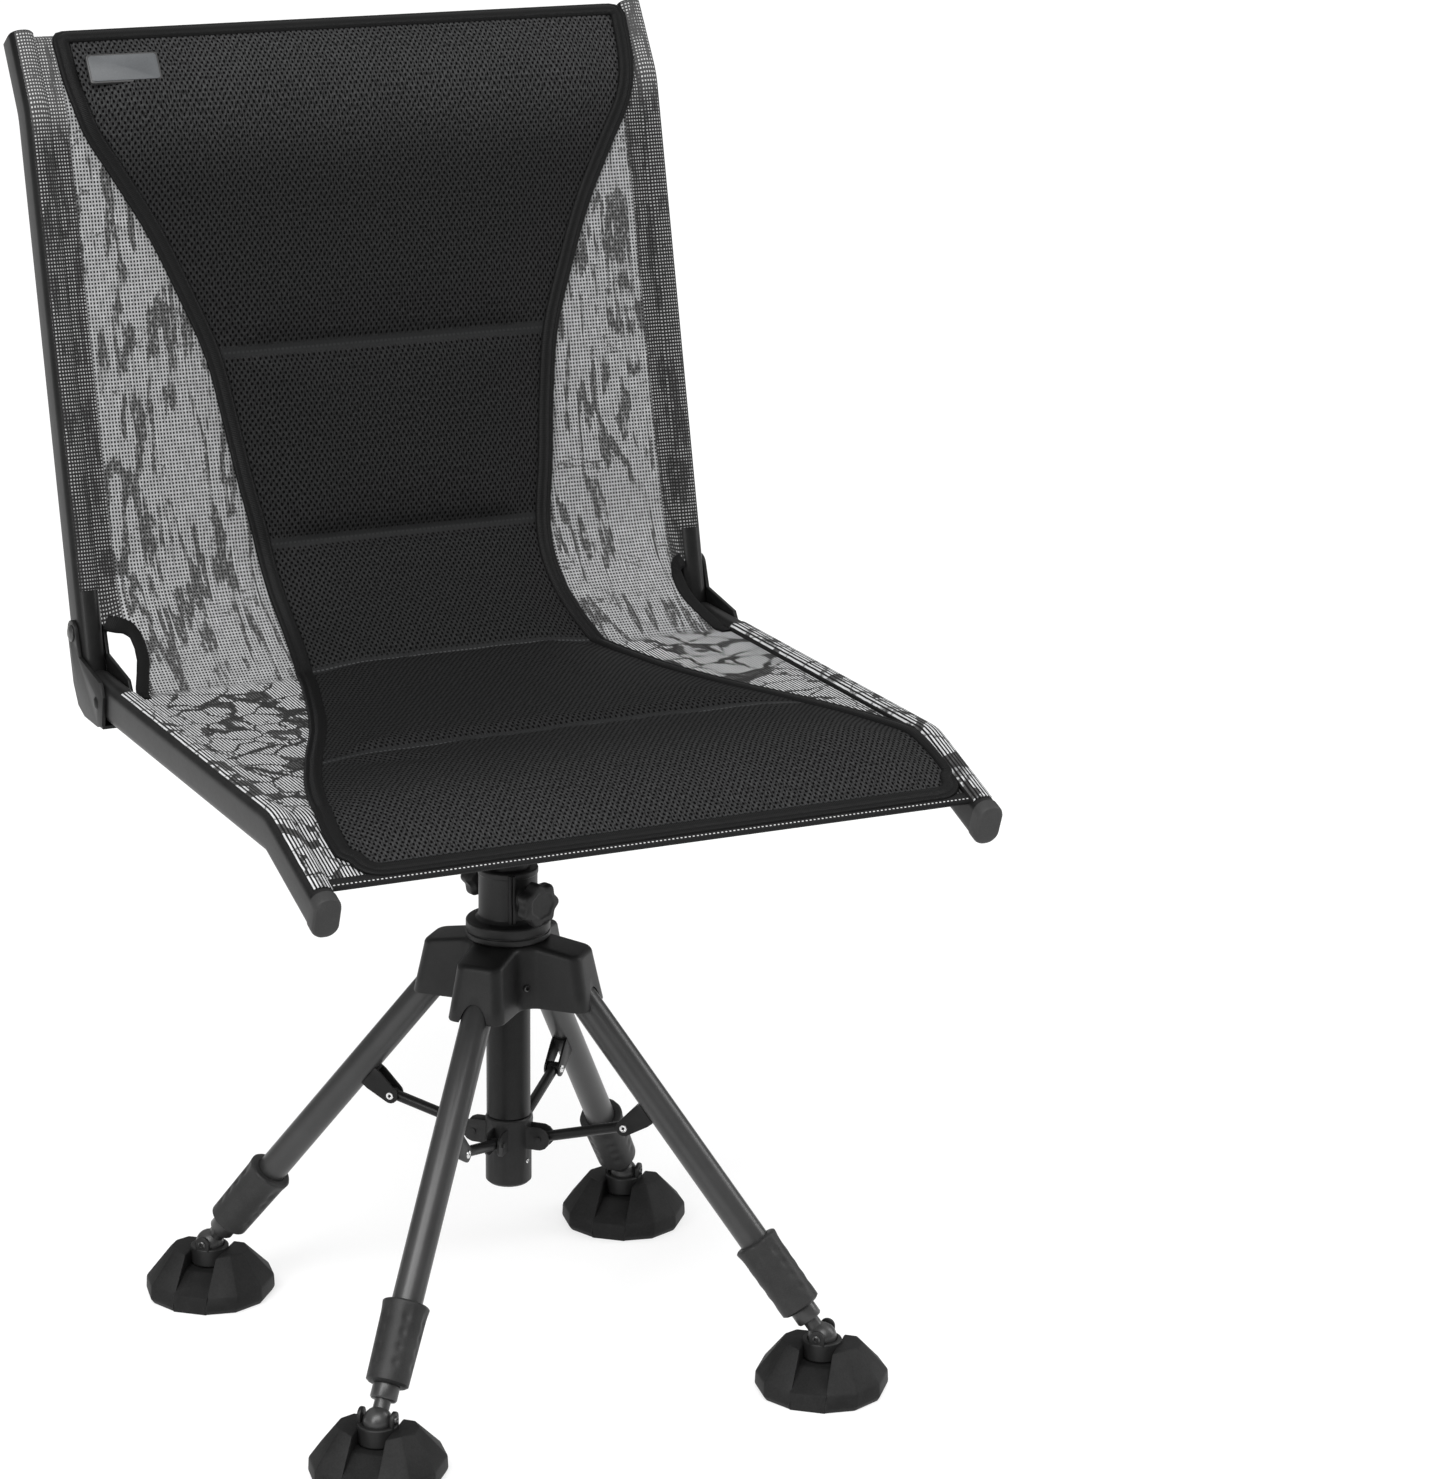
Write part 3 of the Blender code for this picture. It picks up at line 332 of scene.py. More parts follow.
def add_mesh(name, verts, faces, mat, smooth=True, angle=None, uvs=None):
    mesh = bpy.data.meshes.new(name)
    mesh.from_pydata([tuple(v) for v in verts], [], faces)
    ob = linked(name, mesh)
    if uvs is not None:
        layer = mesh.uv_layers.new(name="flat")
        for loop in mesh.loops:
            layer.data[loop.index].uv = uvs[loop.vertex_index]
    if mat:
        mesh.materials.append(mat)
    tidy(ob, smooth, angle)
    return ob


def tidy(ob, smooth=True, angle=None):
    """Outward normals, then smooth shading, with edges sharper than angle kept."""
    bm = bmesh.new()
    bm.from_mesh(ob.data)
    bmesh.ops.recalc_face_normals(bm, faces=bm.faces)
    for f in bm.faces:
        f.smooth = smooth
    if angle is not None:
        for e in bm.edges:
            if len(e.link_faces) == 2 and e.calc_face_angle(0.0) > radians(angle):
                e.smooth = False
    bm.to_mesh(ob.data)
    bm.free()


def grid_faces(rows, cols, wrap_rows=False, wrap_cols=False, start=0):
    faces = []
    for i in range(rows if wrap_rows else rows - 1):
        for j in range(cols if wrap_cols else cols - 1):
            a, b = i, (i + 1) % rows
            c, d = j, (j + 1) % cols
            faces.append((start + a * cols + c, start + a * cols + d, start + b * cols + d, start + b * cols + c))
    return faces


def lids(rows, cols):
    """The end faces of a grid whose columns wrap round."""
    return [tuple(range(cols)), tuple(range((rows - 1) * cols, rows * cols))]


def prism(name, outline, near, far, matrix, mat):
    """An (x, z) outline drawn out from y = near to y = far."""
    n = len(outline)
    verts = [matrix @ Vector((x, y, z)) for y in (near, far) for x, z in outline]
    return add_mesh(name, verts, lids(2, n) + [(i, (i + 1) % n, n + (i + 1) % n, n + i) for i in range(n)], mat)


def arc(x, y, r, start, end, count):
    """Points on a circle, between two angles in degrees."""
    return [(x + r * cos(a), y + r * sin(a)) for a in np.radians(np.linspace(start, end, count))]


def lengths(pts):
    """Length along a line at each of its points."""
    return np.r_[0, np.cumsum(np.linalg.norm(np.diff(pts, axis=0), axis=1))]


def headings(pts):
    """Unit tangents of a line."""
    d = np.gradient(pts, axis=0)
    return d / np.linalg.norm(d, axis=1)[:, None]


def raised(x, p, t, h):
    """The point at x, a distance h square to the direction t from p, in the side view."""
    return Vector((x, p[0] - t[1] * h, p[1] + t[0] * h))


def lathe(name, profile, mat, segments=48, matrix=None, shape=None, angle=32):
    """Turns (r, z) points about Z; a radius of 0 closes the end. shape(a, z) scales the radius."""
    verts, faces, rings = [], [], []
    for r, z in profile:
        if r <= 1e-6:
            rings.append([len(verts)])
            verts.append(Vector((0, 0, z)))
            continue
        ring = []
        for i in range(segments):
            a = 2 * pi * i / segments
            k = r if shape is None else shape(a, z, r)
            ring.append(len(verts))
            verts.append(Vector((k * cos(a), k * sin(a), z)))
        rings.append(ring)
    for p, q in zip(rings, rings[1:]):
        for i in range(segments):
            j = (i + 1) % segments
            if len(p) == 1 and len(q) == 1:
                break
            if len(p) == 1:
                faces.append((p[0], q[i], q[j]))
            elif len(q) == 1:
                faces.append((p[i], p[j], q[0]))
            else:
                faces.append((p[i], p[j], q[j], q[i]))
    if matrix is not None:
        verts = [matrix @ v for v in verts]
    return add_mesh(name, verts, faces, mat, angle=angle)


def rounded(points, radius, steps=4):
    """Rounds the corners of an open (r, z) profile."""
    out = [Vector(points[0])]
    for a, b, c in zip(points, points[1:], points[2:]):
        a, b, c = Vector(a), Vector(b), Vector(c)
        back = min(radius, (a - b).length * 0.45, (c - b).length * 0.45)
        p, q = b + (a - b).normalized() * back, b + (c - b).normalized() * back
        for i in range(steps + 1):
            t = i / steps
            out.append(p * (1 - t) ** 2 + b * 2 * t * (1 - t) + q * t ** 2)
    out.append(Vector(points[-1]))
    return [tuple(v) for v in out]


def polar(azimuth, r, z):
    a = radians(azimuth)
    return Vector((r * cos(a), COLUMN_Y + r * sin(a), z))


def outward(azimuth, r, z, elevation=0.0):
    """Matrix that lays local Z along a direction that points out from the column."""
    a, e = radians(azimuth), radians(elevation)
    d = Vector((cos(a) * cos(e), sin(a) * cos(e), sin(e)))
    return Matrix.Translation(polar(azimuth, r, z)) @ d.to_track_quat("Z", "Y").to_matrix().to_4x4()


def leg_matrix(azimuth):
    """Local -Z runs down the leg and +X faces out and up."""
    return Matrix.Translation(polar(azimuth, *LEG_PIVOT)) @ Matrix.Rotation(radians(azimuth), 4, "Z") \
        @ Matrix.Rotation(-LEG_ANGLE, 4, "Y")


def join(first, *others):
    with bpy.context.temp_override(active_object=first, object=first, selected_objects=[first, *others],
                                   selected_editable_objects=[first, *others]):
        bpy.ops.object.join()
    return first


def finished(ob):
    """Applies the modifiers."""
    dg = bpy.context.evaluated_depsgraph_get()
    mesh = bpy.data.meshes.new_from_object(ob.evaluated_get(dg))
    ob.modifiers.clear()
    ob.data = mesh
    return ob


def bevelled(ob, width, segments=2, angle=35, shade=32):
    m = ob.modifiers.new("edges", "BEVEL")
    m.width = width
    m.segments = segments
    m.limit_method = "ANGLE"
    m.angle_limit = radians(angle)
    m.harden_normals = False
    finished(ob)
    tidy(ob, angle=shade)
    return ob


def mount(ob, body):
    """Rides on a body."""
    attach(ob, body)
    return ob


def place(ob, node):
    """Rides on the node's body and stands for the node, whose CAD part it hides."""
    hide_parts(node)
    return mount(ob, nodes[node]["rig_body"])


def refined(node, mat, bevel=0.0006, shade=30):
    """A clean copy of a CAD node with its edges eased."""
    ob = linked(node + "_shell", nodes[node].data.copy())
    ob.data.materials.clear()
    ob.data.materials.append(mat)
    if ob.data.has_custom_normals:
        with bpy.context.temp_override(active_object=ob, object=ob, selected_objects=[ob]):
            bpy.ops.mesh.customdata_custom_splitnormals_clear()
    bm = bmesh.new()
    bm.from_mesh(ob.data)
    bmesh.ops.remove_doubles(bm, verts=bm.verts, dist=2e-6)
    bmesh.ops.dissolve_limit(bm, angle_limit=radians(1.0), verts=bm.verts, edges=bm.edges)
    for e in bm.edges:
        e.smooth = True
    bm.to_mesh(ob.data)
    bm.free()
    if bevel:
        bevelled(ob, bevel, 2, 34, shade)
    else:
        tidy(ob, angle=shade)
    return place(ob, node)


# ---------------------------------------------------------------- the chair's profile
def smooth(t):
    t = min(max(t, 0.0), 1.0)
    return t * t * (3 - 2 * t)


def bend(points, radius, steps=8):
    out = [Vector(points[0])]
    for a, b, c in zip(points, points[1:], points[2:]):
        a, b, c = Vector(a), Vector(b), Vector(c)
        d0, d1 = (b - a).normalized(), (c - b).normalized()
        turn = d0.angle_signed(d1)
        back = radius * math.tan(abs(turn) / 2)
        side = Vector((d0.y, -d0.x)) * (1 if turn > 0 else -1)
        centre = b - d0 * back + side * radius
        for i in range(steps + 1):
            out.append(centre + Matrix.Rotation(-turn * i / steps, 2) @ (-side * radius))
    out.append(Vector(points[-1]))
    return out


def sling_profile():
    """The sling's line in (y, z), from its front edge over the top tube and down behind it."""
    front_y = -0.292
    edge = Vector((front_y, SEAT_FACE_Z - (SEAT_BEND_Y - front_y) * math.tan(SEAT_DIP)))
    line = bend([edge, Vector((SEAT_BEND_Y, SEAT_FACE_Z)), CREASE], 0.055)
    # a cubic from the crease up to where the sling meets the back's rails
    start = HINGE + UP * 0.055 + FRONT * FACE
    c1, c2 = Vector((0.1175, 0.5016)), Vector((0.166, 0.527))
    for i in range(1, 25):
        t = i / 24
        line.append(CREASE * (1 - t) ** 3 + c1 * 3 * t * (1 - t) ** 2 + c2 * 3 * t * t * (1 - t) + start * t ** 3)
    over = BACK_BEND + UP2 * 0.049
    line += bend([start, BACK_BEND + FRONT * FACE, over + FRONT2 * 0.0105], 0.045)[1:]
    for i in range(1, 13):
        a = pi * i / 12
        line.append(over + FRONT2 * (0.0100 * cos(a)) + UP2 * (0.0096 * sin(a)))
    for s, off in ((0.415, -0.0098), (0.406, -0.0078), (0.398, -0.0010), (0.392, 0.0060), (0.386, 0.0092)):
        line.append(BACK_BEND + UP2 * (s - BEND_S) + FRONT2 * off)
    pts = np.array([tuple(p) for p in line])
    pts = pts[np.r_[True, np.linalg.norm(np.diff(pts, axis=0), axis=1) > 1e-5]]
    length = lengths(pts)
    fine = np.arange(0, length[-1], 0.0015)
    return np.c_[np.interp(fine, length, pts[:, 0]), np.interp(fine, length, pts[:, 1])]


LINE = sling_profile()
RUN = lengths(LINE)
# tangents, smoothed over seven points
TANGENT = np.gradient(LINE, RUN, axis=0)
TANGENT = np.c_[tuple(np.convolve(np.pad(TANGENT[:, k], 3, mode="edge"), np.ones(7) / 7, "valid") for k in (0, 1))]
TANGENT /= np.linalg.norm(TANGENT, axis=1)[:, None]


def run_at(y=None, s=None):
    """Length along the profile at a seat y or at a distance s up the back."""
    if s is None:
        return float(RUN[np.argmin(np.abs(LINE[:len(LINE) // 2, 0] - y))])
    up, front, base = (UP, FRONT, HINGE) if s <= BEND_S else (UP2, FRONT2, BACK_BEND)
    p = base + up * (s if s <= BEND_S else s - BEND_S) + front * FACE
    top = int(np.searchsorted(RUN, RUN[-1] - 0.055))
    return float(RUN[np.argmin(np.hypot(LINE[:top, 0] - p.x, LINE[:top, 1] - p.y))])


T_CREASE, T_BACK, T_TOP, T_BEND = run_at(y=CREASE.x), run_at(s=0.055), run_at(s=0.424), run_at(s=BEND_S)


def at_run(line, t):
    """A row of the profile or of its tangents at a length along it."""
    return Vector((np.interp(t, RUN, line[:, 0]), np.interp(t, RUN, line[:, 1])))


def hug(x, t):
    """How far the sling's edge drops to reach the rail just above the waist."""
    near, low, ramp = 0.212, T_CREASE + 0.055, 0.020
    if abs(x) < near or not low < t < T_BACK + 0.01:
        return 0.0
    ahead = max((at_run(LINE, t) - HINGE).dot(FRONT) - FACE, 0.0)
    return ahead * smooth((abs(x) - near) / ramp) * smooth((t - low) / ramp)


def sag(x, t):
    """How far the weave sags between the rails: up to 4.5 mm on the seat and 5 mm on the back."""
    k = 1 - (x / HALF) ** 2
    seat = smooth(t / 0.09) * smooth((T_CREASE + 0.01 - t) / 0.10)
    back = smooth((t - T_BACK) / 0.09) * smooth((T_TOP - 0.01 - t) / 0.10)
    return k * (0.0045 * seat + 0.0050 * back)


def on(x, t, h=0.0):
    """A point h in front of the sling's surface."""
    return raised(x, at_run(LINE, t), at_run(TANGENT, t).normalized(), h - sag(x, t) - hug(x, t))


def bent(ob):
    """Bakes its placement into its mesh."""
    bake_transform(ob)
    return ob


# ---------------------------------------------------------------- sling
# half width of the sling past the waist cut-outs, as (t, half)
CUT = [(T_CREASE + t, half) for t, half in (
    (-0.014, HALF), (-0.004, 0.2325), (0.008, 0.2300), (0.022, 0.2250), (0.036, 0.2205), (0.048, 0.2190),
    (0.058, 0.2195), (0.066, 0.2220), (0.072, 0.2270), (0.076, HALF))]


def sling_half(t):
    return float(np.interp(t, *zip(*CUT)))


def make_sling(mat, tape, hem_mat):
    cols, rows = 97, int(RUN[-1] / 0.0042)
    uvs = [(sling_half(t) * (2 * j / (cols - 1) - 1), t) for t in np.linspace(0, RUN[-1], rows) for j in range(cols)]
    sling = add_mesh("sling", [on(x, t) for x, t in uvs], grid_faces(rows, cols), mat, uvs=uvs)
    trims = [waist_binding("waist_binding_" + label, side, tape) for label, side in SIDES]
    hem = make_hem(hem_mat)
    seat_path, back_path, _ = rail_paths()
    low, high = 0.082, 0.064
    for label, side in SIDES:
        rail_cover("back_casing_" + label, back_path, side, 1, low, 0.0015, T_BACK - 0.025, mat, "back")
        rail_cover("seat_casing_" + label, seat_path, side, -1, high, 0.008,
                                 run_at(y=SEAT_REAR_Y - high), mat, "seat")
    bent(sling)
    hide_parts("seat_sling", "back_sling")


def make_hem(mat):
    """The front hem, wrapped round the front bar; points past the sling's end go straight on."""
    profile = [(0.0085, 0.0003), (0.0070, 0.0012), (0.0030, 0.0015), (0.0006, 0.0014), (-0.0012, 0.0006),
               (-0.0016, -0.0010), (-0.0008, -0.0028), (0.0020, -0.0036), (0.0120, -0.0034), (0.0190, -0.0012)]
    near = 0.002
    verts, uvs = [], []
    xs = np.linspace(-HALF + 0.0006, HALF - 0.0006, 90)
    for x in xs:
        line = []
        for t, h in profile:
            p = on(x, max(t, 0.0), h)
            line.append(p + (on(x, near, h) - p) * (t / near) if t < 0 else p)
        verts += line
        uvs += [(x, along) for along in lengths([tuple(p) for p in line])]
    hem = add_mesh("sling_front_hem", verts, grid_faces(len(xs), len(profile)), mat, uvs=uvs)
    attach(hem, "seat")
    return hem


def rail_paths():
    """Centre lines of a seat rail and a back rail in (y, z), and the seat rail's front end."""
    drop = 0.0885
    front = Vector((SEAT_BEND_Y - drop * cos(SEAT_DIP), SEAT_Z - drop * sin(SEAT_DIP)))
    seat = bend([Vector((SEAT_REAR_Y, SEAT_Z)), Vector((SEAT_BEND_Y, SEAT_Z)), front], 0.030, 10)
    back = bend([HINGE - UP * 0.052, BACK_BEND, BACK_BEND + UP2 * 0.059], 0.05, 12)
    return np.array([tuple(p) for p in seat]), np.array([tuple(p) for p in back]), front


def rail_cover(name, pts, side, face, start, stop, t_start, mat, body):
    """The sling's casing where it lies over a rail's face and tucks into the groove."""
    run = lengths(pts)
    first, last = start, run[-1] - stop
    line = np.linspace(first, last, int((last - first) / 0.004))
    mid = np.c_[np.interp(line, run, pts[:, 0]), np.interp(line, run, pts[:, 1])]
    cx, cz = (size / 2 - RAIL_CORNER for size in RAIL_SIZE)
    ring = []
    for gap, order in ((0.00075, 1), (0.0002, -1)):
        r = RAIL_CORNER + gap
        ring += (arc(-cx, cz, r, 148, 92, 8) + arc(cx, cz, r, 90, 52, 7))[::order]
    verts, uvs = [], []
    for p, t, r in zip(mid, headings(mid), line):
        verts += [raised(side * (RAIL_X + u), p, t, v * face) for u, v in ring]
        uvs += [(side * (RAIL_X + u), t_start + (r - first) * face) for u, v in ring]
    rows, n = len(line), len(ring)
    ob = add_mesh(name, verts, grid_faces(rows, n, wrap_cols=True) + lids(rows, n), mat, uvs=uvs, angle=50)
    return mount(ob, body)


def waist_binding(name, side, mat):
    """A closed strip round the edge of a waist cut-out; side is the sign of x there."""
    pts = np.array([(side * sling_half(t), t) for t in np.linspace(CUT[0][0] + 0.004, CUT[-1][0] - 0.0005, 60)])
    tangent = headings(pts)
    inward = np.c_[-tangent[:, 1], tangent[:, 0]] * side
    profile = [(-0.0010, 0.0), (-0.0007, 0.0012), (0.0010, 0.0017), (0.0072, 0.0015), (0.0082, 0.0004),
               (0.0082, -0.0006), (0.0072, -0.0015), (0.0010, -0.0017), (-0.0007, -0.0012)]
    verts, uvs = [], []
    for (x, t), (nx, nt), r in zip(pts, inward, lengths(pts)):
        for d, h in profile:
            verts.append(on(max(-HALF, min(HALF, x + nx * d)), t + nt * d, h))
            uvs.append((float(r), d + (0.02 if h < 0 else 0.0)))
    rows, n = len(pts), len(profile)
    return bent(add_mesh(name, verts, grid_faces(rows, n, wrap_cols=True) + lids(rows, n), mat, uvs=uvs, angle=60))


# ---------------------------------------------------------------- pad
SEAT_PAD = [(-0.2885, 0.2225), (-0.272, 0.2275), (-0.245, 0.2290), (-0.218, 0.2260), (-0.170, 0.214), (-0.110, 0.192),
            (-0.036, 0.160), (0.034, 0.137), (0.091, 0.122)]
BACK_PAD = [(0.060, 0.119), (0.088, 0.124), (0.142, 0.1315), (0.190, 0.140), (0.238, 0.157), (0.286, 0.177),
            (0.325, 0.198), (0.358, 0.216), (0.388, 0.224), (0.415, 0.226), (0.4285, 0.2265)]
WIDTHS = [(run_at(y=y), w) for y, w in SEAT_PAD] + [(run_at(s=s), w) for s, w in BACK_PAD]
PAD_T0, PAD_T1 = WIDTHS[0][0] + 0.0005, run_at(s=0.4285) + 0.006
SEAMS = [run_at(y=-0.116), T_CREASE + 0.002, run_at(s=0.050), run_at(s=0.192)]


def spline(xs, ys):
    """Monotone-ish cubic through the points, as a function."""
    xs, ys = np.array(xs), np.array(ys)
    m = np.gradient(ys, xs)

    def value(x):
        i = int(np.clip(np.searchsorted(xs, x) - 1, 0, len(xs) - 2))
        h = xs[i + 1] - xs[i]
        t = min(max((x - xs[i]) / h, 0.0), 1.0)
        return ((1 + 2 * t) * (1 - t) ** 2 * ys[i] + t * (1 - t) ** 2 * h * m[i]
                + t * t * (3 - 2 * t) * ys[i + 1] + t * t * (t - 1) * h * m[i + 1])
    return value


PAD_HALF = spline([a for a, _ in WIDTHS], [b for _, b in WIDTHS])


def pad_half(t):
    return float(PAD_HALF(min(max(t, WIDTHS[0][0]), WIDTHS[-1][0])))


def pad_shift(t):
    """The panel is sewn a little to the right of the middle."""
    return 0.0110 - 0.0040 * smooth((t - T_CREASE) / 0.10)


def pad_outline(step=0.005):
    """Closed (x, t) outline with rounded corners, its inward normals and the length along it."""
    r0, r1 = 0.020, 0.012
    right = arc(pad_half(PAD_T0) - r0, PAD_T0 + r0, r0, -90, 0, 9)
    right += [(pad_half(t), t) for t in np.linspace(PAD_T0 + r0 + 0.004, PAD_T1 - r1 - 0.004, 160)]
    right += arc(pad_half(PAD_T1) - r1, PAD_T1 - r1, r1, 0, 90, 9)
    loop = right + [(-x, t) for x, t in reversed(right)]
    pts = np.array(loop + [loop[0]])
    run = lengths(pts)
    fine = np.linspace(0, run[-1], int(run[-1] / step), endpoint=False)
    pts = np.c_[np.interp(fine, run, pts[:, 0]), np.interp(fine, run, pts[:, 1])]
    d = np.roll(pts, -1, axis=0) - np.roll(pts, 1, axis=0)
    d /= np.linalg.norm(d, axis=1)[:, None]
    pts[:, 0] += [pad_shift(t) for t in pts[:, 1]]
    return pts, np.c_[-d[:, 1], d[:, 0]], fine


def puff(d, t):
    """Height of the pad's face: it rises from the border and dips at every seam."""
    edge = 0.0020
    rise = 0.0085 * smooth((d - 0.001) / 0.042)
    for at in SEAMS:
        deep = 0.80 if at > T_BACK - 0.01 or at < T_CREASE - 0.05 else 0.6
        rise *= 1 - deep * math.exp(-((t - at) / 0.0085) ** 2)
    return edge + rise


def make_pad(mat, tape, patch_mat, frame_mat):
    """The padded panel: a shaped face over a flat back, then cloth under pressure, then its binding and patch."""
    inset = 0.0098
    cols, rows = 81, 171
    r0, r1 = 0.011, 0.004
    t0, t1 = PAD_T0 + inset, PAD_T1 - inset
    verts, uvs, pinned = [], [], []
    for i in range(rows):
        t = t0 + (t1 - t0) * i / (rows - 1)
        half = pad_half(t) - inset
        for end, r in ((t - t0, r0), (t1 - t, r1)):
            if end < r:
                half -= r - sqrt(max(r * r - (r - end) ** 2, 0.0))
        for j in range(cols):
            u = 2 * j / (cols - 1) - 1
            x = half * u
            d = min(half - abs(x), t - t0, t1 - t)
            h = puff(d, t)
            near = min(abs(t - at) for at in SEAMS)
            h += 0.0007 * noise.noise(Vector((x * 26, t * 26, 0.3))) * smooth(d / 0.02)
            ripple = noise.noise(Vector((x * 95, t * 20, 4.0))) * math.exp(-((near - 0.010) / 0.008) ** 2)
            h += 0.0009 * ripple * smooth(d / 0.012)
            x += pad_shift(t)
            verts.append(on(x, t, h))
            uvs.append((x, t))
            pinned.append(d < 0.0015 or near < 0.0022)
    count = len(verts)
    for i in range(rows):
        t = t0 + (t1 - t0) * i / (rows - 1)
        for j in range(cols):
            x = uvs[i * cols + j][0]
            verts.append(on(x, t, 0.0006))
            uvs.append((x, t))
            pinned.append(True)
    faces = grid_faces(rows, cols) + [tuple(reversed(f)) for f in grid_faces(rows, cols, start=count)]
    rim = [(i, 0) for i in range(rows)] + [(rows - 1, j) for j in range(1, cols)]
    rim += [(i, cols - 1) for i in range(rows - 2, -1, -1)] + [(0, j) for j in range(cols - 2, 0, -1)]
    ring = [i * cols + j for i, j in rim]
    for a, b in zip(ring, ring[1:] + ring[:1]):
        faces.append((a, b, b + count, a + count))
    pad = add_mesh("pad", verts, faces, mat, uvs=uvs)
    inflate(pad, [i for i, p in enumerate(pinned) if p], 0.0050)
    sub = pad.modifiers.new("sub", "SUBSURF")
    sub.levels = sub.render_levels = 1
    finished(pad)
    tidy(pad)
    tree = BVHTree.FromObject(pad, bpy.context.evaluated_depsgraph_get())
    bent(pad)
    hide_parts("seat_pad", "back_pad")
    make_pad_binding(tape)
    make_patch(tree, patch_mat, frame_mat)


def make_pad_binding(mat):
    pts, inward, run = pad_outline()
    profile = [(-0.0004, 0.0003), (-0.0009, 0.0014), (-0.0004, 0.0026), (0.0009, 0.0033), (0.0021, 0.0031),
               (0.0029, 0.0026), (0.0039, 0.0033), (0.0056, 0.0042), (0.0078, 0.0045), (0.0098, 0.0041),
               (0.0112, 0.0032), (0.0118, 0.0020), (0.0118, 0.0006)]
    verts = [on(x + nx * d, t + nt * d, h) for (x, t), (nx, nt) in zip(pts, inward) for d, h in profile]
    uvs = [(float(r), d) for r in run for d, _ in profile]
    faces = grid_faces(len(pts), len(profile), wrap_rows=True, wrap_cols=True)
    bent(add_mesh("pad_binding", verts, faces, mat, uvs=uvs))


def make_patch(tree, patch_mat, frame_mat):
    """Blank patch sewn on near the top left corner, on the pad's shaped face."""
    x0, x1, ta, above = -0.2005, -0.1465, run_at(s=0.4085), 0.03
    tb = ta - 0.0225

    def height(x, t):
        p, n = on(x, t, above), on(x, t)
        hit = tree.ray_cast(p, (n - p).normalized())
        return above - ((p - hit[0]).length if hit[0] else 0.024)

    heights = [height(x, t) for x in np.linspace(x0, x1, 7) for t in np.linspace(tb, ta, 5)]
    lift = max(heights) * 0.75 + min(heights) * 0.25 + 0.0006
    cx, ct, r = (x0 + x1) / 2, (ta + tb) / 2, 0.0022
    for name, grow, h0, h1, mat in (("patch_edge", 0.0, -0.002, 0.0010, frame_mat),
                                    ("patch_face", -0.0013, 0.0, 0.0016, patch_mat)):
        left, right, top, low = x0 + r - grow, x1 - r + grow, ta - r + grow, tb + r - grow
        outline = []
        for x, t, start in ((right, top, 0), (left, top, 90), (left, low, 180), (right, low, 270)):
            outline += arc(x, t, r, start, start + 90, 5)
        rings = ((1.0, h0), (1.0, h1 - 0.0003), (0.985, h1))
        uvs = [(cx + (x - cx) * k, ct + (t - ct) * k) for k, _ in rings for x, t in outline]
        verts = [on(x, t, lift + rings[i // len(outline)][1]) for i, (x, t) in enumerate(uvs)]
        faces = grid_faces(len(rings), len(outline), wrap_cols=True) + lids(len(rings), len(outline))[1:]
        mount(add_mesh(name, verts, faces, mat, uvs=uvs, angle=40), "back")


def inflate(ob, pinned, cap):
    """Cloth under pressure, with the border and seams held; no point moves more than cap."""
    rest = np.zeros(len(ob.data.vertices) * 3)
    ob.data.vertices.foreach_get("co", rest)
    rest = rest.reshape(-1, 3)
    group = ob.vertex_groups.new(name="held")
    group.add(pinned, 1.0, "REPLACE")
    m = ob.modifiers.new("cloth", "CLOTH")
    st = m.settings
    st.quality = 5
    st.mass = 0.3
    st.tension_stiffness = st.compression_stiffness = 22
    st.shear_stiffness = 8
    st.bending_stiffness = 1.2
    st.use_pressure = True
    st.uniform_pressure_force = 4.0
    st.vertex_group_mass = "held"
    st.effector_weights.gravity = 0
    m.collision_settings.use_collision = False
    frames = 20
    m.point_cache.frame_start, m.point_cache.frame_end = 1, frames
    scene = bpy.context.scene
    for f in range(1, frames + 1):
        scene.frame_set(f)
    mesh = ob.evaluated_get(bpy.context.evaluated_depsgraph_get()).to_mesh()
    moved = np.zeros(len(rest) * 3)
    mesh.vertices.foreach_get("co", moved)
    moved = moved.reshape(-1, 3)
    ob.modifiers.remove(m)
    ob.vertex_groups.remove(group)
    scene.frame_set(1)
    shift = moved - rest
    far = np.linalg.norm(shift, axis=1)
    soft = cap * np.tanh(far / cap)
    rest += shift * (soft / np.maximum(far, 1e-9))[:, None]
    ob.data.vertices.foreach_set("co", rest.ravel())
    ob.data.update()


# ---------------------------------------------------------------- rails
def section(width, depth, corner, steps=7):
    """Outline of a tube with rounded corners."""
    x, z = width / 2 - corner, depth / 2 - corner
    corners = ((x, z, 0), (-x, z, 90), (-x, -z, 180), (x, -z, 270))
    return [p for cx, cz, start in corners for p in arc(cx, cz, corner, start, start + 90, steps + 1)]


def sweep(name, pts, x, mat):
    """An oval tube with open ends along a (y, z) path."""
    tangent = headings(pts)
    last, wall, lip, depth = len(pts) - 1, 0.0018, 0.0005, 0.012
    outer, rim, inner = (section(RAIL_SIZE[0] - 2 * k, RAIL_SIZE[1] - 2 * k, RAIL_CORNER - k) for k in (0.0, lip, wall))
    rings = [(0, inner, depth), (0, inner, 0.0), (0, rim, 0.0), (0, outer, lip)]
    rings += [(i, outer, 0.0) for i in range(1, last)]
    rings += [(last, outer, -lip), (last, rim, 0.0), (last, inner, 0.0), (last, inner, -depth)]
    verts = [raised(x + u, pts[i] + tangent[i] * shift, tangent[i], v) for i, line, shift in rings for u, v in line]
    n = len(outer)
    return add_mesh(name, verts, grid_faces(len(rings), n, wrap_cols=True) + lids(len(rings), n), mat, angle=40)


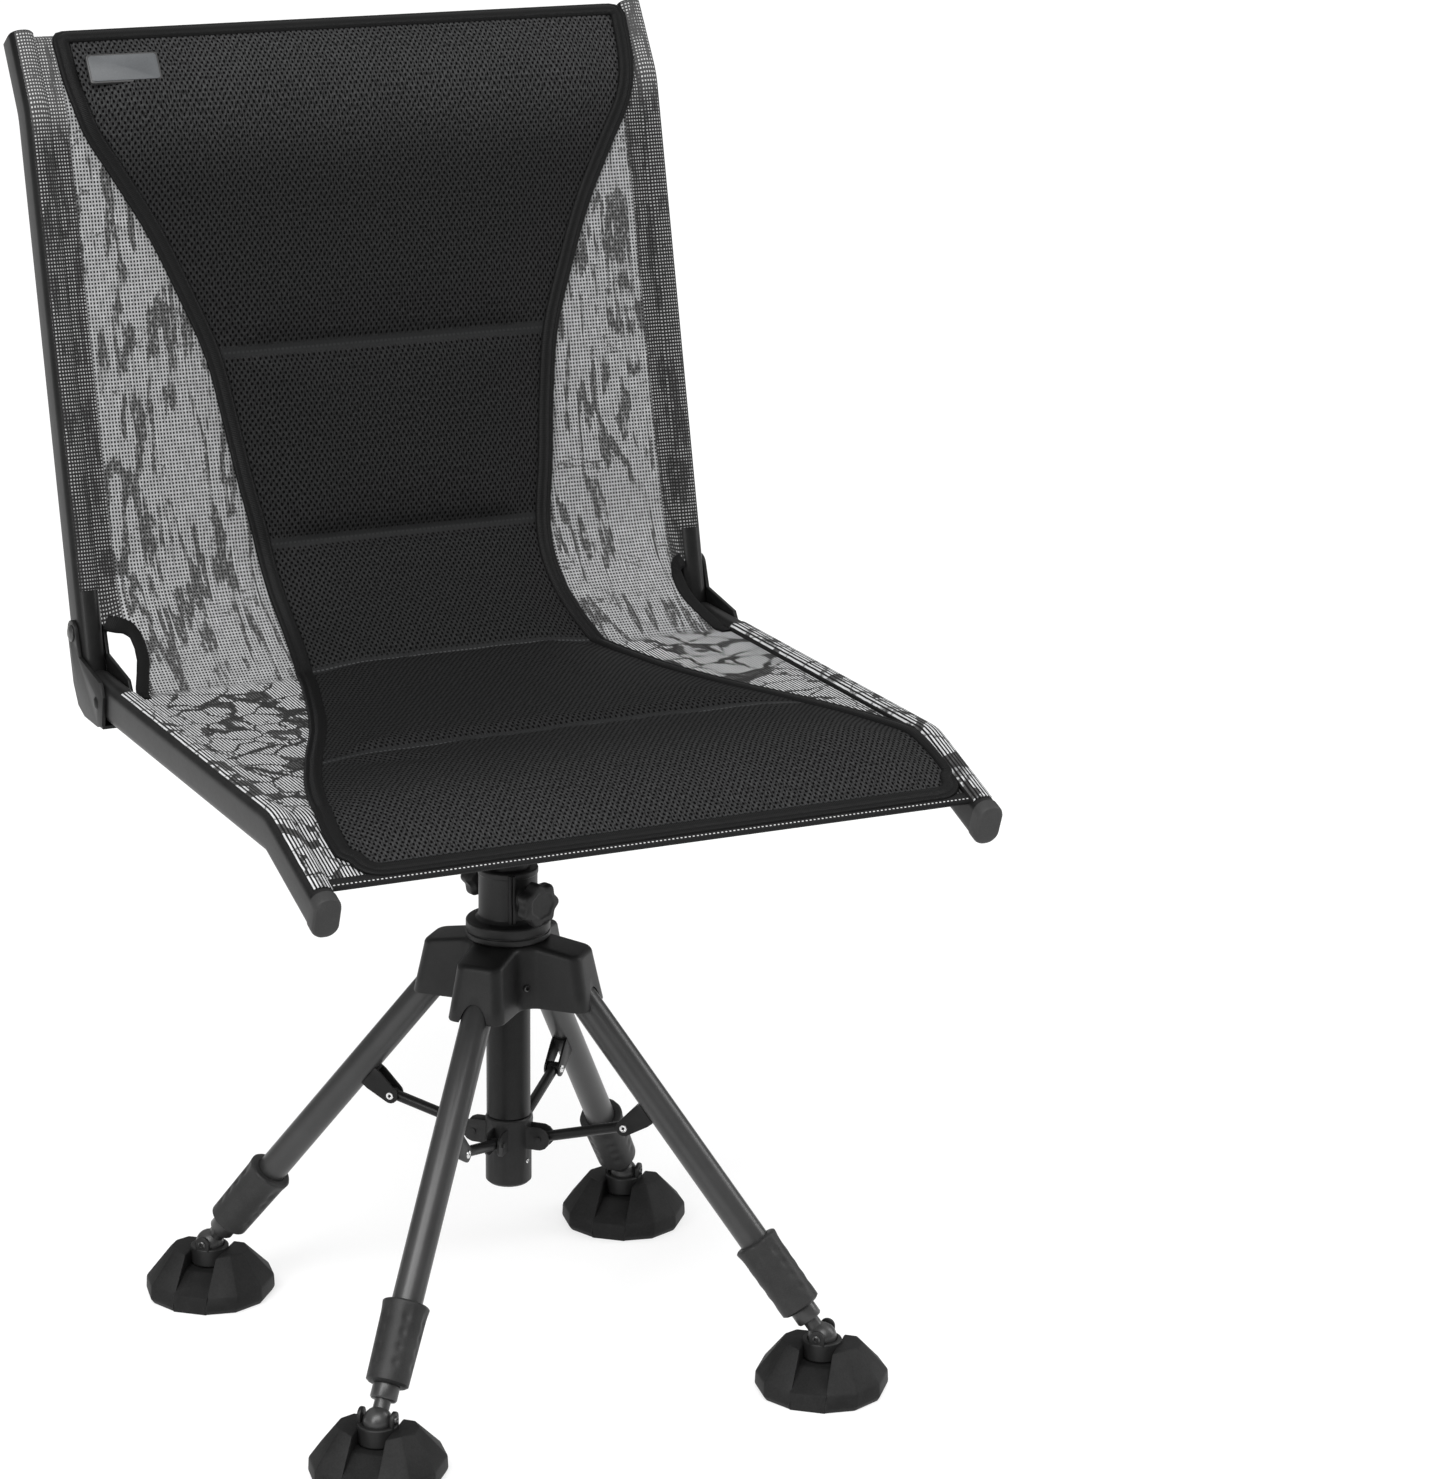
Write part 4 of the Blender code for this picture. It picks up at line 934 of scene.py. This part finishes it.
def make_rails(mats):
    seat, back, front = rail_paths()
    for side, sign in SIDES:
        x = sign * RAIL_X
        for part, path in (("seat_rail_", seat), ("back_rail_", back)):
            place(sweep(part + side + "_tube", path, x, mats["coat"]), part + side)
        make_cap(side, x, front, mats["plastic"])
        # rivet on the rail's inner face near its bend
        m = Matrix.Translation((x - sign * 0.0090, -0.168, 0.4715)) @ Matrix.Rotation(-sign * pi / 2, 4, "Y")
        profile = rounded([(0.0, 0.0011), (0.0019, 0.0009), (0.0019 * 1.15, -0.0003)], 0.0006)
        mount(lathe("rail_rivet_" + side, profile, mats["coat"], 20, m), "seat")


def make_cap(side, x, end, mat):
    """Domed plug over the rail's cut front end."""
    t = Vector((-cos(SEAT_DIP), -sin(SEAT_DIP)))
    outline = section(0.0192, 0.0312, 0.0088)
    levels = [(-0.0035, 1.0), (0.0040, 1.0), (0.0056, 0.955), (0.0066, 0.86), (0.0070, 0.70)]
    verts = [raised(x + u * k, end + t * d, t, v * k) for d, k in levels for u, v in outline]
    rows, n = len(levels), len(outline)
    cap = add_mesh("end_cap_%s_shell" % side, verts, grid_faces(rows, n, wrap_cols=True) + lids(rows, n), mat, angle=28)
    place(cap, "end_cap_" + side)


# ---------------------------------------------------------------- column and hub
def screw_head(name, matrix, r, mat, body):
    profile = [(0.0, -0.0008), (r * 0.45, -0.0008), (r * 0.5, 0.0008), (r * 0.62, 0.0013), (r * 0.95, 0.0008),
               (r, 0.0), (r, -0.0012)]
    return mount(lathe(name, profile, mat, 24, matrix, angle=38), body)


def make_column(mats):
    profile = rounded([(0.0142, 0.1785), (0.0160, 0.1785), (0.0160, 0.4085), (0.0142, 0.4085)], 0.0005)
    post = lathe("height_post_tube", profile, mats["coat"], 64, COLUMN)
    place(post, "height_post")
    r = 0.0213
    sleeve = lathe("clamp_sleeve_shell", rounded([
        (0.0163, 0.3158), (0.0294, 0.3158), (0.0305, 0.3168), (0.0305, 0.3204), (0.0296, 0.3208), (0.0296, 0.3216),
        (0.0305, 0.3220), (0.0305, 0.3280), (0.0294, 0.3292), (0.0236, 0.3300), (r, 0.3325), (r, 0.3632),
        (0.0219, 0.3638), (0.0219, 0.3672), (0.0209, 0.3682), (0.0163, 0.3682)], 0.0005, 3), mats["hub"], 72, COLUMN)
    parts = [sleeve]
    for az, z in KNOBS.values():
        parts.append(lathe("boss", rounded([(0.0120, 0.0188), (0.0096, 0.0212), (0.0090, 0.0232), (0.0086, 0.0271),
                                            (0.0, 0.0271)], 0.0008), mats["hub"], 36, outward(az, 0, z)))
    # clamp lips either side of the split, beside the height knob
    for az in (-109.0, -102.0):
        lip = box_mesh("lip", (0.0045, 0.0022, 0.036), mats["hub"])
        lip.data.transform(Matrix.Translation(polar(az, 0.0216, 0.3492)) @ Matrix.Rotation(radians(az), 4, "Z"))
        parts.append(bevelled(lip, 0.0006))
    join(*parts)
    place(sleeve, "clamp_sleeve")
    for name, (az, z) in KNOBS.items():
        make_knob(name, az, z, mats)
    socket = lathe("swivel_socket_shell", rounded([
        (0.0163, 0.3865), (0.0212, 0.3865), (0.0220, 0.3873), (0.0220, 0.4030), (0.0228, 0.4062), (0.0320, 0.4092),
        (0.0320, 0.4139), (0.0060, 0.4139), (0.0060, 0.4123), (0.0163, 0.4123)], 0.0006, 3), mats["hub"], 64, COLUMN)
    place(socket, "swivel_socket")
    bearing = lathe("swivel_bearing_shell", rounded([(0.0040, 0.4088), (0.0160, 0.4088), (0.0160, 0.4120),
                                                     (0.0040, 0.4120)], 0.0003), mats["steel"], 40, COLUMN)
    place(bearing, "swivel_bearing")


def box_mesh(name, size, mat):
    x, y, z = (s / 2 for s in size)
    verts = [(-x, -y, -z), (x, -y, -z), (x, y, -z), (-x, y, -z), (-x, -y, z), (x, -y, z), (x, y, z), (-x, y, z)]
    faces = [(0, 1, 2, 3), (4, 5, 6, 7), (0, 1, 5, 4), (1, 2, 6, 5), (2, 3, 7, 6), (3, 0, 4, 7)]
    return add_mesh(name, verts, faces, mat)


def make_knob(name, az, z, mats):
    def lobes(a, level, r):
        """Seven lobes on the rim, fading towards the middle."""
        k = 0.085 * min(1.0, max(0.0, (r - 0.006) / 0.008))
        c = cos(7 * a)
        return r * (1 - k + k * (c if c > 0 else c * 0.85))

    b = 0.0275
    at = outward(az, 0, z)
    profile = rounded([(0.0, b), (0.0120, b), (0.0148, b + 0.0018), (0.0166, b + 0.0030), (0.0168, b + 0.0095),
                       (0.0152, b + 0.0120), (0.0105, b + 0.0125), (0.0088, b + 0.0116), (0.0, b + 0.0116)], 0.0014, 4)
    knob = lathe(name + "_shell", profile, mats["grip"], 112, at, lobes, 40)
    stem = lathe("stem", [(0.0, 0.0172), (0.0030, 0.0172), (0.0030, 0.0300), (0.0, 0.0300)], mats["steel"], 20, at)
    place(join(knob, stem), name)


def hub_outline(inset, q):
    """Four lobes with hollow flanks between them, as (x, y) points; q is 0 at the foot and 1 at the deck."""
    w, length, corner = 0.0215 - 0.0040 * q - inset, 0.0680 - 0.0070 * q - inset, max(0.0085 - inset, 0.003)
    flank = 0.0125 + inset
    side = arc(w + flank, -w - flank, flank, 135, 90, 7) + arc(length - corner, -w + corner, corner, -90, 0, 8)
    end = [(length, b) for b in np.linspace(-w + corner, w - corner, 6)[1:-1]]
    lobe = side + end + [(x, -y) for x, y in reversed(side)]
    pts = []
    for az in (45, 135, 225, 315):
        c, d = cos(radians(az)), sin(radians(az))
        pts += [(x * c - y * d, x * d + y * c) for x, y in lobe[:-1]]
    return pts


def hub_mesh(mat):
    """Moulded spider: lofted lobes under a sloping deck, with an arched channel cut for each leg."""
    def deck(rho):
        return 0.3155 - max(rho - 0.030, 0.0) * 0.17

    low, soft = 0.2700, 0.0042
    rings = []
    for q in (0.0, 0.03, 0.3, 0.6, 1.0):
        flat = 0.0006 if q == 0.0 else 0.0
        rings.append([(x, y, low + (deck(math.hypot(x, y)) - soft - low) * q) for x, y in hub_outline(flat, q)])
    for i in range(1, 7):
        a = pi / 2 * i / 6
        inset = soft * (1 - cos(a))
        rings.append([(x, y, deck(math.hypot(x, y)) - soft + soft * sin(a)) for x, y in hub_outline(inset, 1.0)])
    # across the deck to the collar, then down the bore
    top = [(x, y, math.hypot(x, y)) for x, y, _ in rings[-1]]
    for k in (0.35, 0.7, 1.0):
        reach = [(x / rho, y / rho, rho + (0.0255 - rho) * k) for x, y, rho in top]
        rings.append([(x * r, y * r, deck(r)) for x, y, r in reach])
    for z in (0.3155, low):
        rings.append([(x / rho * 0.0166, y / rho * 0.0166, z) for x, y, rho in top])
    verts = [Vector((x, y + COLUMN_Y, z)) for ring in rings for x, y, z in ring]
    faces = grid_faces(len(rings), len(top), wrap_rows=True, wrap_cols=True)
    hub = add_mesh("leg_hub_shell", verts, faces, mat)
    r0, z0 = LEG_PIVOT
    for az in LEGS.values():
        m = leg_matrix(az)
        across = m @ Matrix.Rotation(-pi / 2, 4, "X")
        channel = lathe("channel", [(0.0, 0.001), (0.0119, 0.001), (0.0119, -0.080), (0.0, -0.080)], None, 44, m)
        head = lathe("head", [(0.0, -0.0117), (0.0134, -0.0117), (0.0134, 0.0117), (0.0, 0.0117)], None, 52, across)
        below = [(0.0, 0.0005), (0.080 * sin(LEG_ANGLE), -0.080 * cos(LEG_ANGLE)), (-0.0136, -0.063), (-0.0136, 0.0005)]
        room = prism("room", [(r0 + r, z0 + z) for r, z in below], -0.01205, 0.01205,
                     COLUMN @ Matrix.Rotation(radians(az), 4, "Z"), None)
        for cutter in (channel, head, room):
            cut = hub.modifiers.new("cut", "BOOLEAN")
            cut.operation = "DIFFERENCE"
            cut.solver = "EXACT"
            cut.object = cutter
            finished(hub)
            bpy.data.objects.remove(cutter)
    hub.data.materials.clear()
    hub.data.materials.append(mat)
    return bevelled(hub, 0.0006, 2, 38, 32)


def make_base(mats):
    place(hub_mesh(mats["hub"]), "leg_hub")
    for k, az in enumerate((0.0, 90.0, 180.0, -90.0)):
        screw_head("hub_screw_%d" % k, outward(az, 0.0342, 0.2855, 7.0), 0.0024, mats["dark_steel"], "base")
    refined("sliding_collar", mats["hub"], 0.0005, 30)
    for k, az in enumerate((-60.0, 120.0)):
        screw_head("collar_rivet_%d" % k, outward(az, 0.0166, 0.1446), 0.0017, mats["steel"], "collar")


# ---------------------------------------------------------------- legs
def make_leg(name, az, mats):
    m = leg_matrix(az)
    across = Matrix.Rotation(-pi / 2, 4, "X")
    profile = [(0.0, 0.0044), (0.0110, 0.0044), (0.0110, -0.2620), (0.0092, -0.2620), (0.0092, -0.2500)]
    tube = lathe("leg_tube_%s_shell" % name, rounded(profile, 0.0012), mats["leg"], 48, m)
    place(tube, "leg_tube_" + name)
    place(grip_mesh(name, m, mats["grip"]), "leg_grip_" + name)
    # lower leg: tube, ferrule, stem and ball
    stem = 0.0058
    neck = sqrt(BALL_R ** 2 - stem ** 2)
    start = math.atan2(neck, stem)
    profile = [(0.0, -0.1500), (0.0090, -0.1500), (0.0090, -0.2973), (0.0096, -0.2976), (0.0096, -0.3064),
               (0.0088, -0.3075), (0.0060, -0.3079), (stem, -0.3085), (stem, neck - LEG_LENGTH)]
    for i in range(1, 12):
        a = start + (-pi / 2 - start) * i / 11
        profile.append((max(BALL_R * cos(a), 0.0), -LEG_LENGTH + BALL_R * sin(a)))
    lower = lathe("lower_leg_%s_shell" % name, profile, mats["leg"], 40, m, angle=40)
    place(lower, "lower_leg_" + name)
    profile = rounded([(0.0, -0.0185), (0.0028, -0.0185), (0.0028, 0.0185), (0.0, 0.0185)], 0.0004)
    pin = lathe("leg_pin_%s_shell" % name, profile, mats["steel"], 20, m @ across)
    place(pin, "leg_pin_" + name)
    refined("leg_bracket_" + name, mats["coat"], 0.0006, 32)
    refined("strut_" + name, mats["coat"], 0.0005, 34)
    # hollow rivet through the bracket and the strut's eye
    at = m @ Matrix.Translation((-0.0315, 0, -0.118)) @ across
    for k, turn in enumerate((Matrix.Identity(4), Matrix.Rotation(pi, 4, "X"))):
        rivet = lathe("bracket_rivet_%s_%d" % (name, k), [
            (0.0, 0.0052), (0.0010, 0.0052), (0.0011, 0.0066), (0.0015, 0.0070), (0.0026, 0.0068), (0.0031, 0.0062),
            (0.0031, 0.0056)], mats["steel"], 24, at @ turn, angle=40)
        mount(rivet, "leg_" + name)
    make_foot(name, az, mats)


def grip_mesh(name, m, mat):
    """Moulded grip: flat panels with a column of dimples on each, and a flared top."""
    top, low, rows, panels = -0.238, -0.297, 44, 6
    turns = [2 * pi * i / 72 for i in range(72)]
    verts = []

    def ring(z, radii):
        verts.extend(m @ Vector((r * cos(a), r * sin(a), z)) for a, r in zip(turns, radii))

    def radius(a, q):
        r = 0.0162 + 0.0006 * math.exp(-(q / 0.08) ** 2) - 0.0010 * q
        wide = ((a * panels / (2 * pi)) % 1.0 - 0.5) * 2 * pi / panels
        r = min(r, 0.0156 / max(cos(wide), 0.5) + 0.0009 * (1 - smooth(q / 0.12)))
        for at in (0.20, 0.39, 0.58, 0.77):
            r -= 0.0009 * math.exp(-((q - at) / 0.055) ** 2 - (wide / 0.17) ** 2)
        return r

    for r, z in ((0.0113, top), (0.0150, top - 0.0002), (0.0161, top - 0.0008)):
        ring(z, [r] * len(turns))
    for k in range(rows):
        q = k / (rows - 1)
        ring(top - 0.0016 + (low - top + 0.0032) * q, [radius(a, q) for a in turns])
    for r, z in ((0.0134, low + 0.0003), (0.0126, low), (0.0097, low)):
        ring(z, [r] * len(turns))
    rings = rows + 6
    faces = grid_faces(rings, len(turns), wrap_cols=True) + lids(rings, len(turns))[1:]
    return add_mesh("leg_grip_%s_shell" % name, verts, faces, mat, angle=44)


def shoulder(sign):
    """One faceted half of a foot, as rings of points from the channel's wall outwards."""
    base = [(-0.046, 0.0125), (-0.036, 0.034), (-0.014, 0.047), (0.014, 0.047), (0.036, 0.034), (0.047, 0.0125)]
    waist = [(-0.0485, 0.0130), (-0.038, 0.0365), (-0.0150, 0.0495), (0.0150, 0.0495), (0.038, 0.0365),
             (0.0490, 0.0130)]
    belt = [(-0.0440, 0.0125), (-0.036, 0.0365), (-0.0150, 0.0490), (0.0150, 0.0490), (0.036, 0.0365),
            (0.0445, 0.0125)]
    crown = [(-0.0200, 0.0120), (-0.0150, 0.0230), (-0.0060, 0.0300), (0.0070, 0.0300), (0.0160, 0.0230),
             (0.0215, 0.0120)]
    peaks = (0.0385, 0.0410, 0.0405, 0.0410, 0.0425, 0.0400)
    wall, n = 0.0115, 6
    verts = [Vector((x * 0.94, sign * (wall + (y - wall) * 0.92), z * 0.90)) for pts, heights in (
        (base, (0.0,) * n), (waist, (0.0045,) * n), (belt, (0.0150,) * n), (crown, peaks))
             for (x, y), z in zip(pts, heights)]
    faces = [(k * n + i, k * n + i + 1, (k + 1) * n + i + 1, (k + 1) * n + i) for k in range(3) for i in range(n - 1)]
    return verts, faces + lids(4, n)[::-1] + [(0, n, 2 * n, 3 * n, 4 * n - 1, 3 * n - 1, 2 * n - 1, n - 1)]


def make_foot(name, az, mats):
    """Rubber foot like a split stone: a faceted shoulder each side of the channel that the ball clamp sits in."""
    centre = polar(az, LEG_PIVOT[0] + LEG_LENGTH * sin(LEG_ANGLE), LEG_PIVOT[1] - LEG_LENGTH * cos(LEG_ANGLE))
    m = Matrix.Translation((centre.x, centre.y, 0)) @ Matrix.Rotation(radians(-130.0), 4, "Z")
    parts = []
    for sign in (-1, 1):
        verts, faces = shoulder(sign)
        parts.append(add_mesh("shoulder", [m @ v for v in verts], faces, mats["rubber"]))
    # floor of the channel
    outline = [(-0.0445, 0.0), (-0.0430, 0.0130), (-0.020, 0.0240), (-0.0145, 0.0240), (0.0145, 0.0240),
               (0.020, 0.0240), (0.0440, 0.0130), (0.0450, 0.0)]
    parts.append(prism("bed", outline, -0.0135, 0.0135, m, mats["rubber"]))
    foot = join(*parts)
    foot.name = "foot_%s_shell" % name
    place(bevelled(foot, 0.0011, 2, 12, 22), "foot_" + name)
    # clamp: cup, two cheeks and a screw in each
    node = "ball_clamp_" + name
    profile = rounded([(0.0, -0.0150), (0.0135, -0.0150), (0.0143, -0.0140), (0.0143, -0.0018), (0.0136, -0.0010),
                       (0.0109, -0.0010), (0.0100, -0.0045), (0.0060, -0.0090), (0.0, -0.0108)], 0.0005)
    parts = [lathe(node + "_shell", profile, mats["hub"], 48, Matrix.Translation(centre))]
    spin = Matrix.Translation(centre) @ Matrix.Rotation(radians(az), 4, "Z")
    half, inner, outer = 0.0055, 0.0109, 0.0136
    outline = [(half, -0.0030), (half, 0.0035)]
    outline += [(half * cos(a), 0.0037 + 0.0053 * sin(a)) for a in np.linspace(0.25, pi - 0.25, 9)]
    outline += [(-half, 0.0035), (-half, -0.0030)]
    for sign in (-1, 1):
        parts.append(bevelled(prism("cheek", outline, sign * inner, sign * outer, spin, mats["hub"]), 0.0005))
    place(join(*parts), node)
    for label, sign in (("a", -1), ("b", 1)):
        at = spin @ Matrix.Translation((0, sign * outer, 0.0030)) @ Matrix.Rotation(-sign * pi / 2, 4, "X")
        screw_head("clamp_screw_%s_%s" % (name, label), at, 0.0030, mats["dark_steel"], "foot_" + name)


# ---------------------------------------------------------------- seat frame
def make_frame(mats):
    for side in ("left", "right"):
        refined("hinge_bracket_" + side, mats["coat"], 0.0005, 34)
        refined("hinge_bolt_" + side, mats["dark_steel"], 0.0, 40)
    for n in ("cross_bar_front", "cross_bar_rear", "rear_stretcher", "back_top_tube"):
        refined(n, mats["coat"], 0.0, 40)
    refined("seat_plate", mats["coat"], 0.0008, 40)
    for k, (x, y) in enumerate(((-0.050, -0.050), (0.050, -0.050), (0.050, 0.050), (-0.050, 0.050))):
        mm = Matrix.Translation((x, COLUMN_Y + y, 0.4142)) @ Matrix.Rotation(pi, 4, "X")
        screw_head("plate_bolt_%d" % k, mm, 0.0050, mats["dark_steel"], "seat")


# ---------------------------------------------------------------- stage
def lamp(name, kind, energy, direction):
    """A light that shines along a direction."""
    light = bpy.data.lights.new(name, kind)
    light.energy = energy
    ob = linked(name, light)
    ob.rotation_mode = "QUATERNION"
    ob.rotation_quaternion = Vector(direction).to_track_quat("-Z", "Y")
    return ob


def area_light(name, where, aim, size, power):
    ob = lamp(name, "AREA", power, Vector(aim) - Vector(where))
    ob.data.shape = "RECTANGLE"
    ob.data.size, ob.data.size_y = size
    ob.location = where


def make_stage():
    s = Shader("floor_paper", Roughness=0.9, Specular_IOR_Level=0.1)
    p = s.position()
    s.colour(s.mix(s.noise(p, 3.0, 3.0), grey(0.36), grey(0.38)))
    s.bsdf.inputs["Emission Color"].default_value = (1, 1, 1, 1)
    s.bsdf.inputs["Emission Strength"].default_value = 0.66
    s.bump(s.noise(p, 220.0, 2.0), 0.05, 0.001)
    size = 14.0
    floor = add_mesh("floor", [(-size, -size, 0), (size, -size, 0), (size, size, 0), (-size, size, 0)], [(0, 1, 2, 3)],
                     s.mat, smooth=False)
    world = bpy.data.worlds.new("studio")
    world.use_nodes = True
    tree = world.node_tree

    def node(kind):
        return tree.nodes.new("ShaderNode" + kind)

    # the camera sees white; the object is lit from above more than from the sides
    back, seen = tree.nodes["Background"], node("Background")
    for n in (back, seen):
        n.inputs[0].default_value = (1, 1, 1, 1)
    seen.inputs[1].default_value = 1.0
    where, split, ramp, rays, both = (node(kind) for kind in (
        "TexCoord", "SeparateXYZ", "MapRange", "LightPath", "MixShader"))
    ramp.interpolation_type = "SMOOTHSTEP"
    for i, v in enumerate((-0.1, 0.95, 0.05, 0.85)):
        ramp.inputs[i + 1].default_value = v
    for a, b in ((where.outputs["Generated"], split.inputs[0]), (split.outputs[2], ramp.inputs[0]),
                 (ramp.outputs[0], back.inputs[1]), (rays.outputs["Is Camera Ray"], both.inputs[0]),
                 (back.outputs[0], both.inputs[1]), (seen.outputs[0], both.inputs[2]),
                 (both.outputs[0], tree.nodes["World Output"].inputs[0])):
        tree.links.new(a, b)
    bpy.context.scene.world = world
    lamp("overhead", "SUN", 2.0, (0.28, 0.62, -0.85)).data.angle = radians(40)
    area_light("left_box", (-2.2, -1.4, 1.6), (0, 0, 0.5), (0.6, 2.2), 48)
    area_light("right_box", (2.4, -0.6, 1.4), (0, 0, 0.4), (0.7, 2.2), 26)
    bpy.context.scene.view_settings.view_transform = "Standard"


def make_camera():
    """Yaw, pitch, roll and focal length as solved for the picture's 1432 x 1479 frame."""
    yaw, pitch, roll = radians(25.91), radians(16.64), radians(0.65)
    v = Vector((sin(yaw) * cos(pitch), cos(yaw) * cos(pitch), -sin(pitch)))
    r = Vector((cos(yaw), -sin(yaw), 0))
    u = r.cross(v)
    right, up = r * cos(roll) + u * sin(roll), u * cos(roll) - r * sin(roll)
    cam = bpy.data.cameras.new("camera")
    cam.sensor_fit = "HORIZONTAL"
    cam.sensor_width = 36.0
    cam.lens = 4490.1 * cam.sensor_width / 1432.0
    cam.clip_start, cam.clip_end = 0.05, 60.0
    ob = linked("camera", cam)
    m = Matrix((right, up, -v)).transposed().to_4x4()
    m.translation = (-1.2028, -2.8510, 1.3778)
    ob.matrix_world = m
    bpy.context.scene.camera = ob


# ---------------------------------------------------------------- build
def main():
    mats = {
        "coat": hard_material("black_powder_coat", 0.0045, 0.0085, 0.40, 900.0, 0.10, specular=0.20),
        "leg": hard_material("satin_grey_tube", 0.019, 0.026, 0.36, 1500.0, 0.05, specular=0.50),
        "hub": hard_material("moulded_black_plastic", 0.009, 0.014, 0.46, 1300.0, 0.14, specular=0.24),
        "plastic": hard_material("cap_plastic", 0.022, 0.032, 0.50, 1100.0, 0.10, specular=0.24),
        "grip": hard_material("grip_plastic_matte", 0.014, 0.024, 0.48, 1200.0, 0.16, specular=0.24),
        "rubber": hard_material("foot_rubber_matte", 0.005, 0.011, 0.60, 700.0, 0.25, specular=0.20),
        "steel": hard_material("zinc_steel", 0.60, 0.74, 0.24, 900.0, 0.04, metallic=1.0),
        "dark_steel": hard_material("black_oxide_steel", 0.06, 0.10, 0.34, 900.0, 0.06, metallic=0.8),
        "patch": hard_material("patch_rubber", 0.060, 0.075, 0.50, 900.0, 0.08, warm=-0.06),
        "patch_edge": hard_material("patch_rim", 0.020, 0.030, 0.45, 900.0, 0.08),
    }
    make_rails(mats)
    make_frame(mats)
    make_column(mats)
    make_base(mats)
    for name, az in LEGS.items():
        make_leg(name, az, mats)
    tape = fabric_tape("binding_tape", 0.003, 0.007, 0.0011)
    pad_tape = fabric_tape("pad_binding_tape", 0.004, 0.008, 0.0013, 0.38)
    hem = fabric_tape("hem_fabric", 0.006, 0.016, 0.0014, 0.6, dots=(0.0030, 0.0078, 0.0088, 0.50))
    make_sling(fabric_sling(), tape, hem)
    make_pad(fabric_pad(SEAMS), pad_tape, mats["patch"], mats["patch_edge"])
    make_stage()
    make_camera()


main()
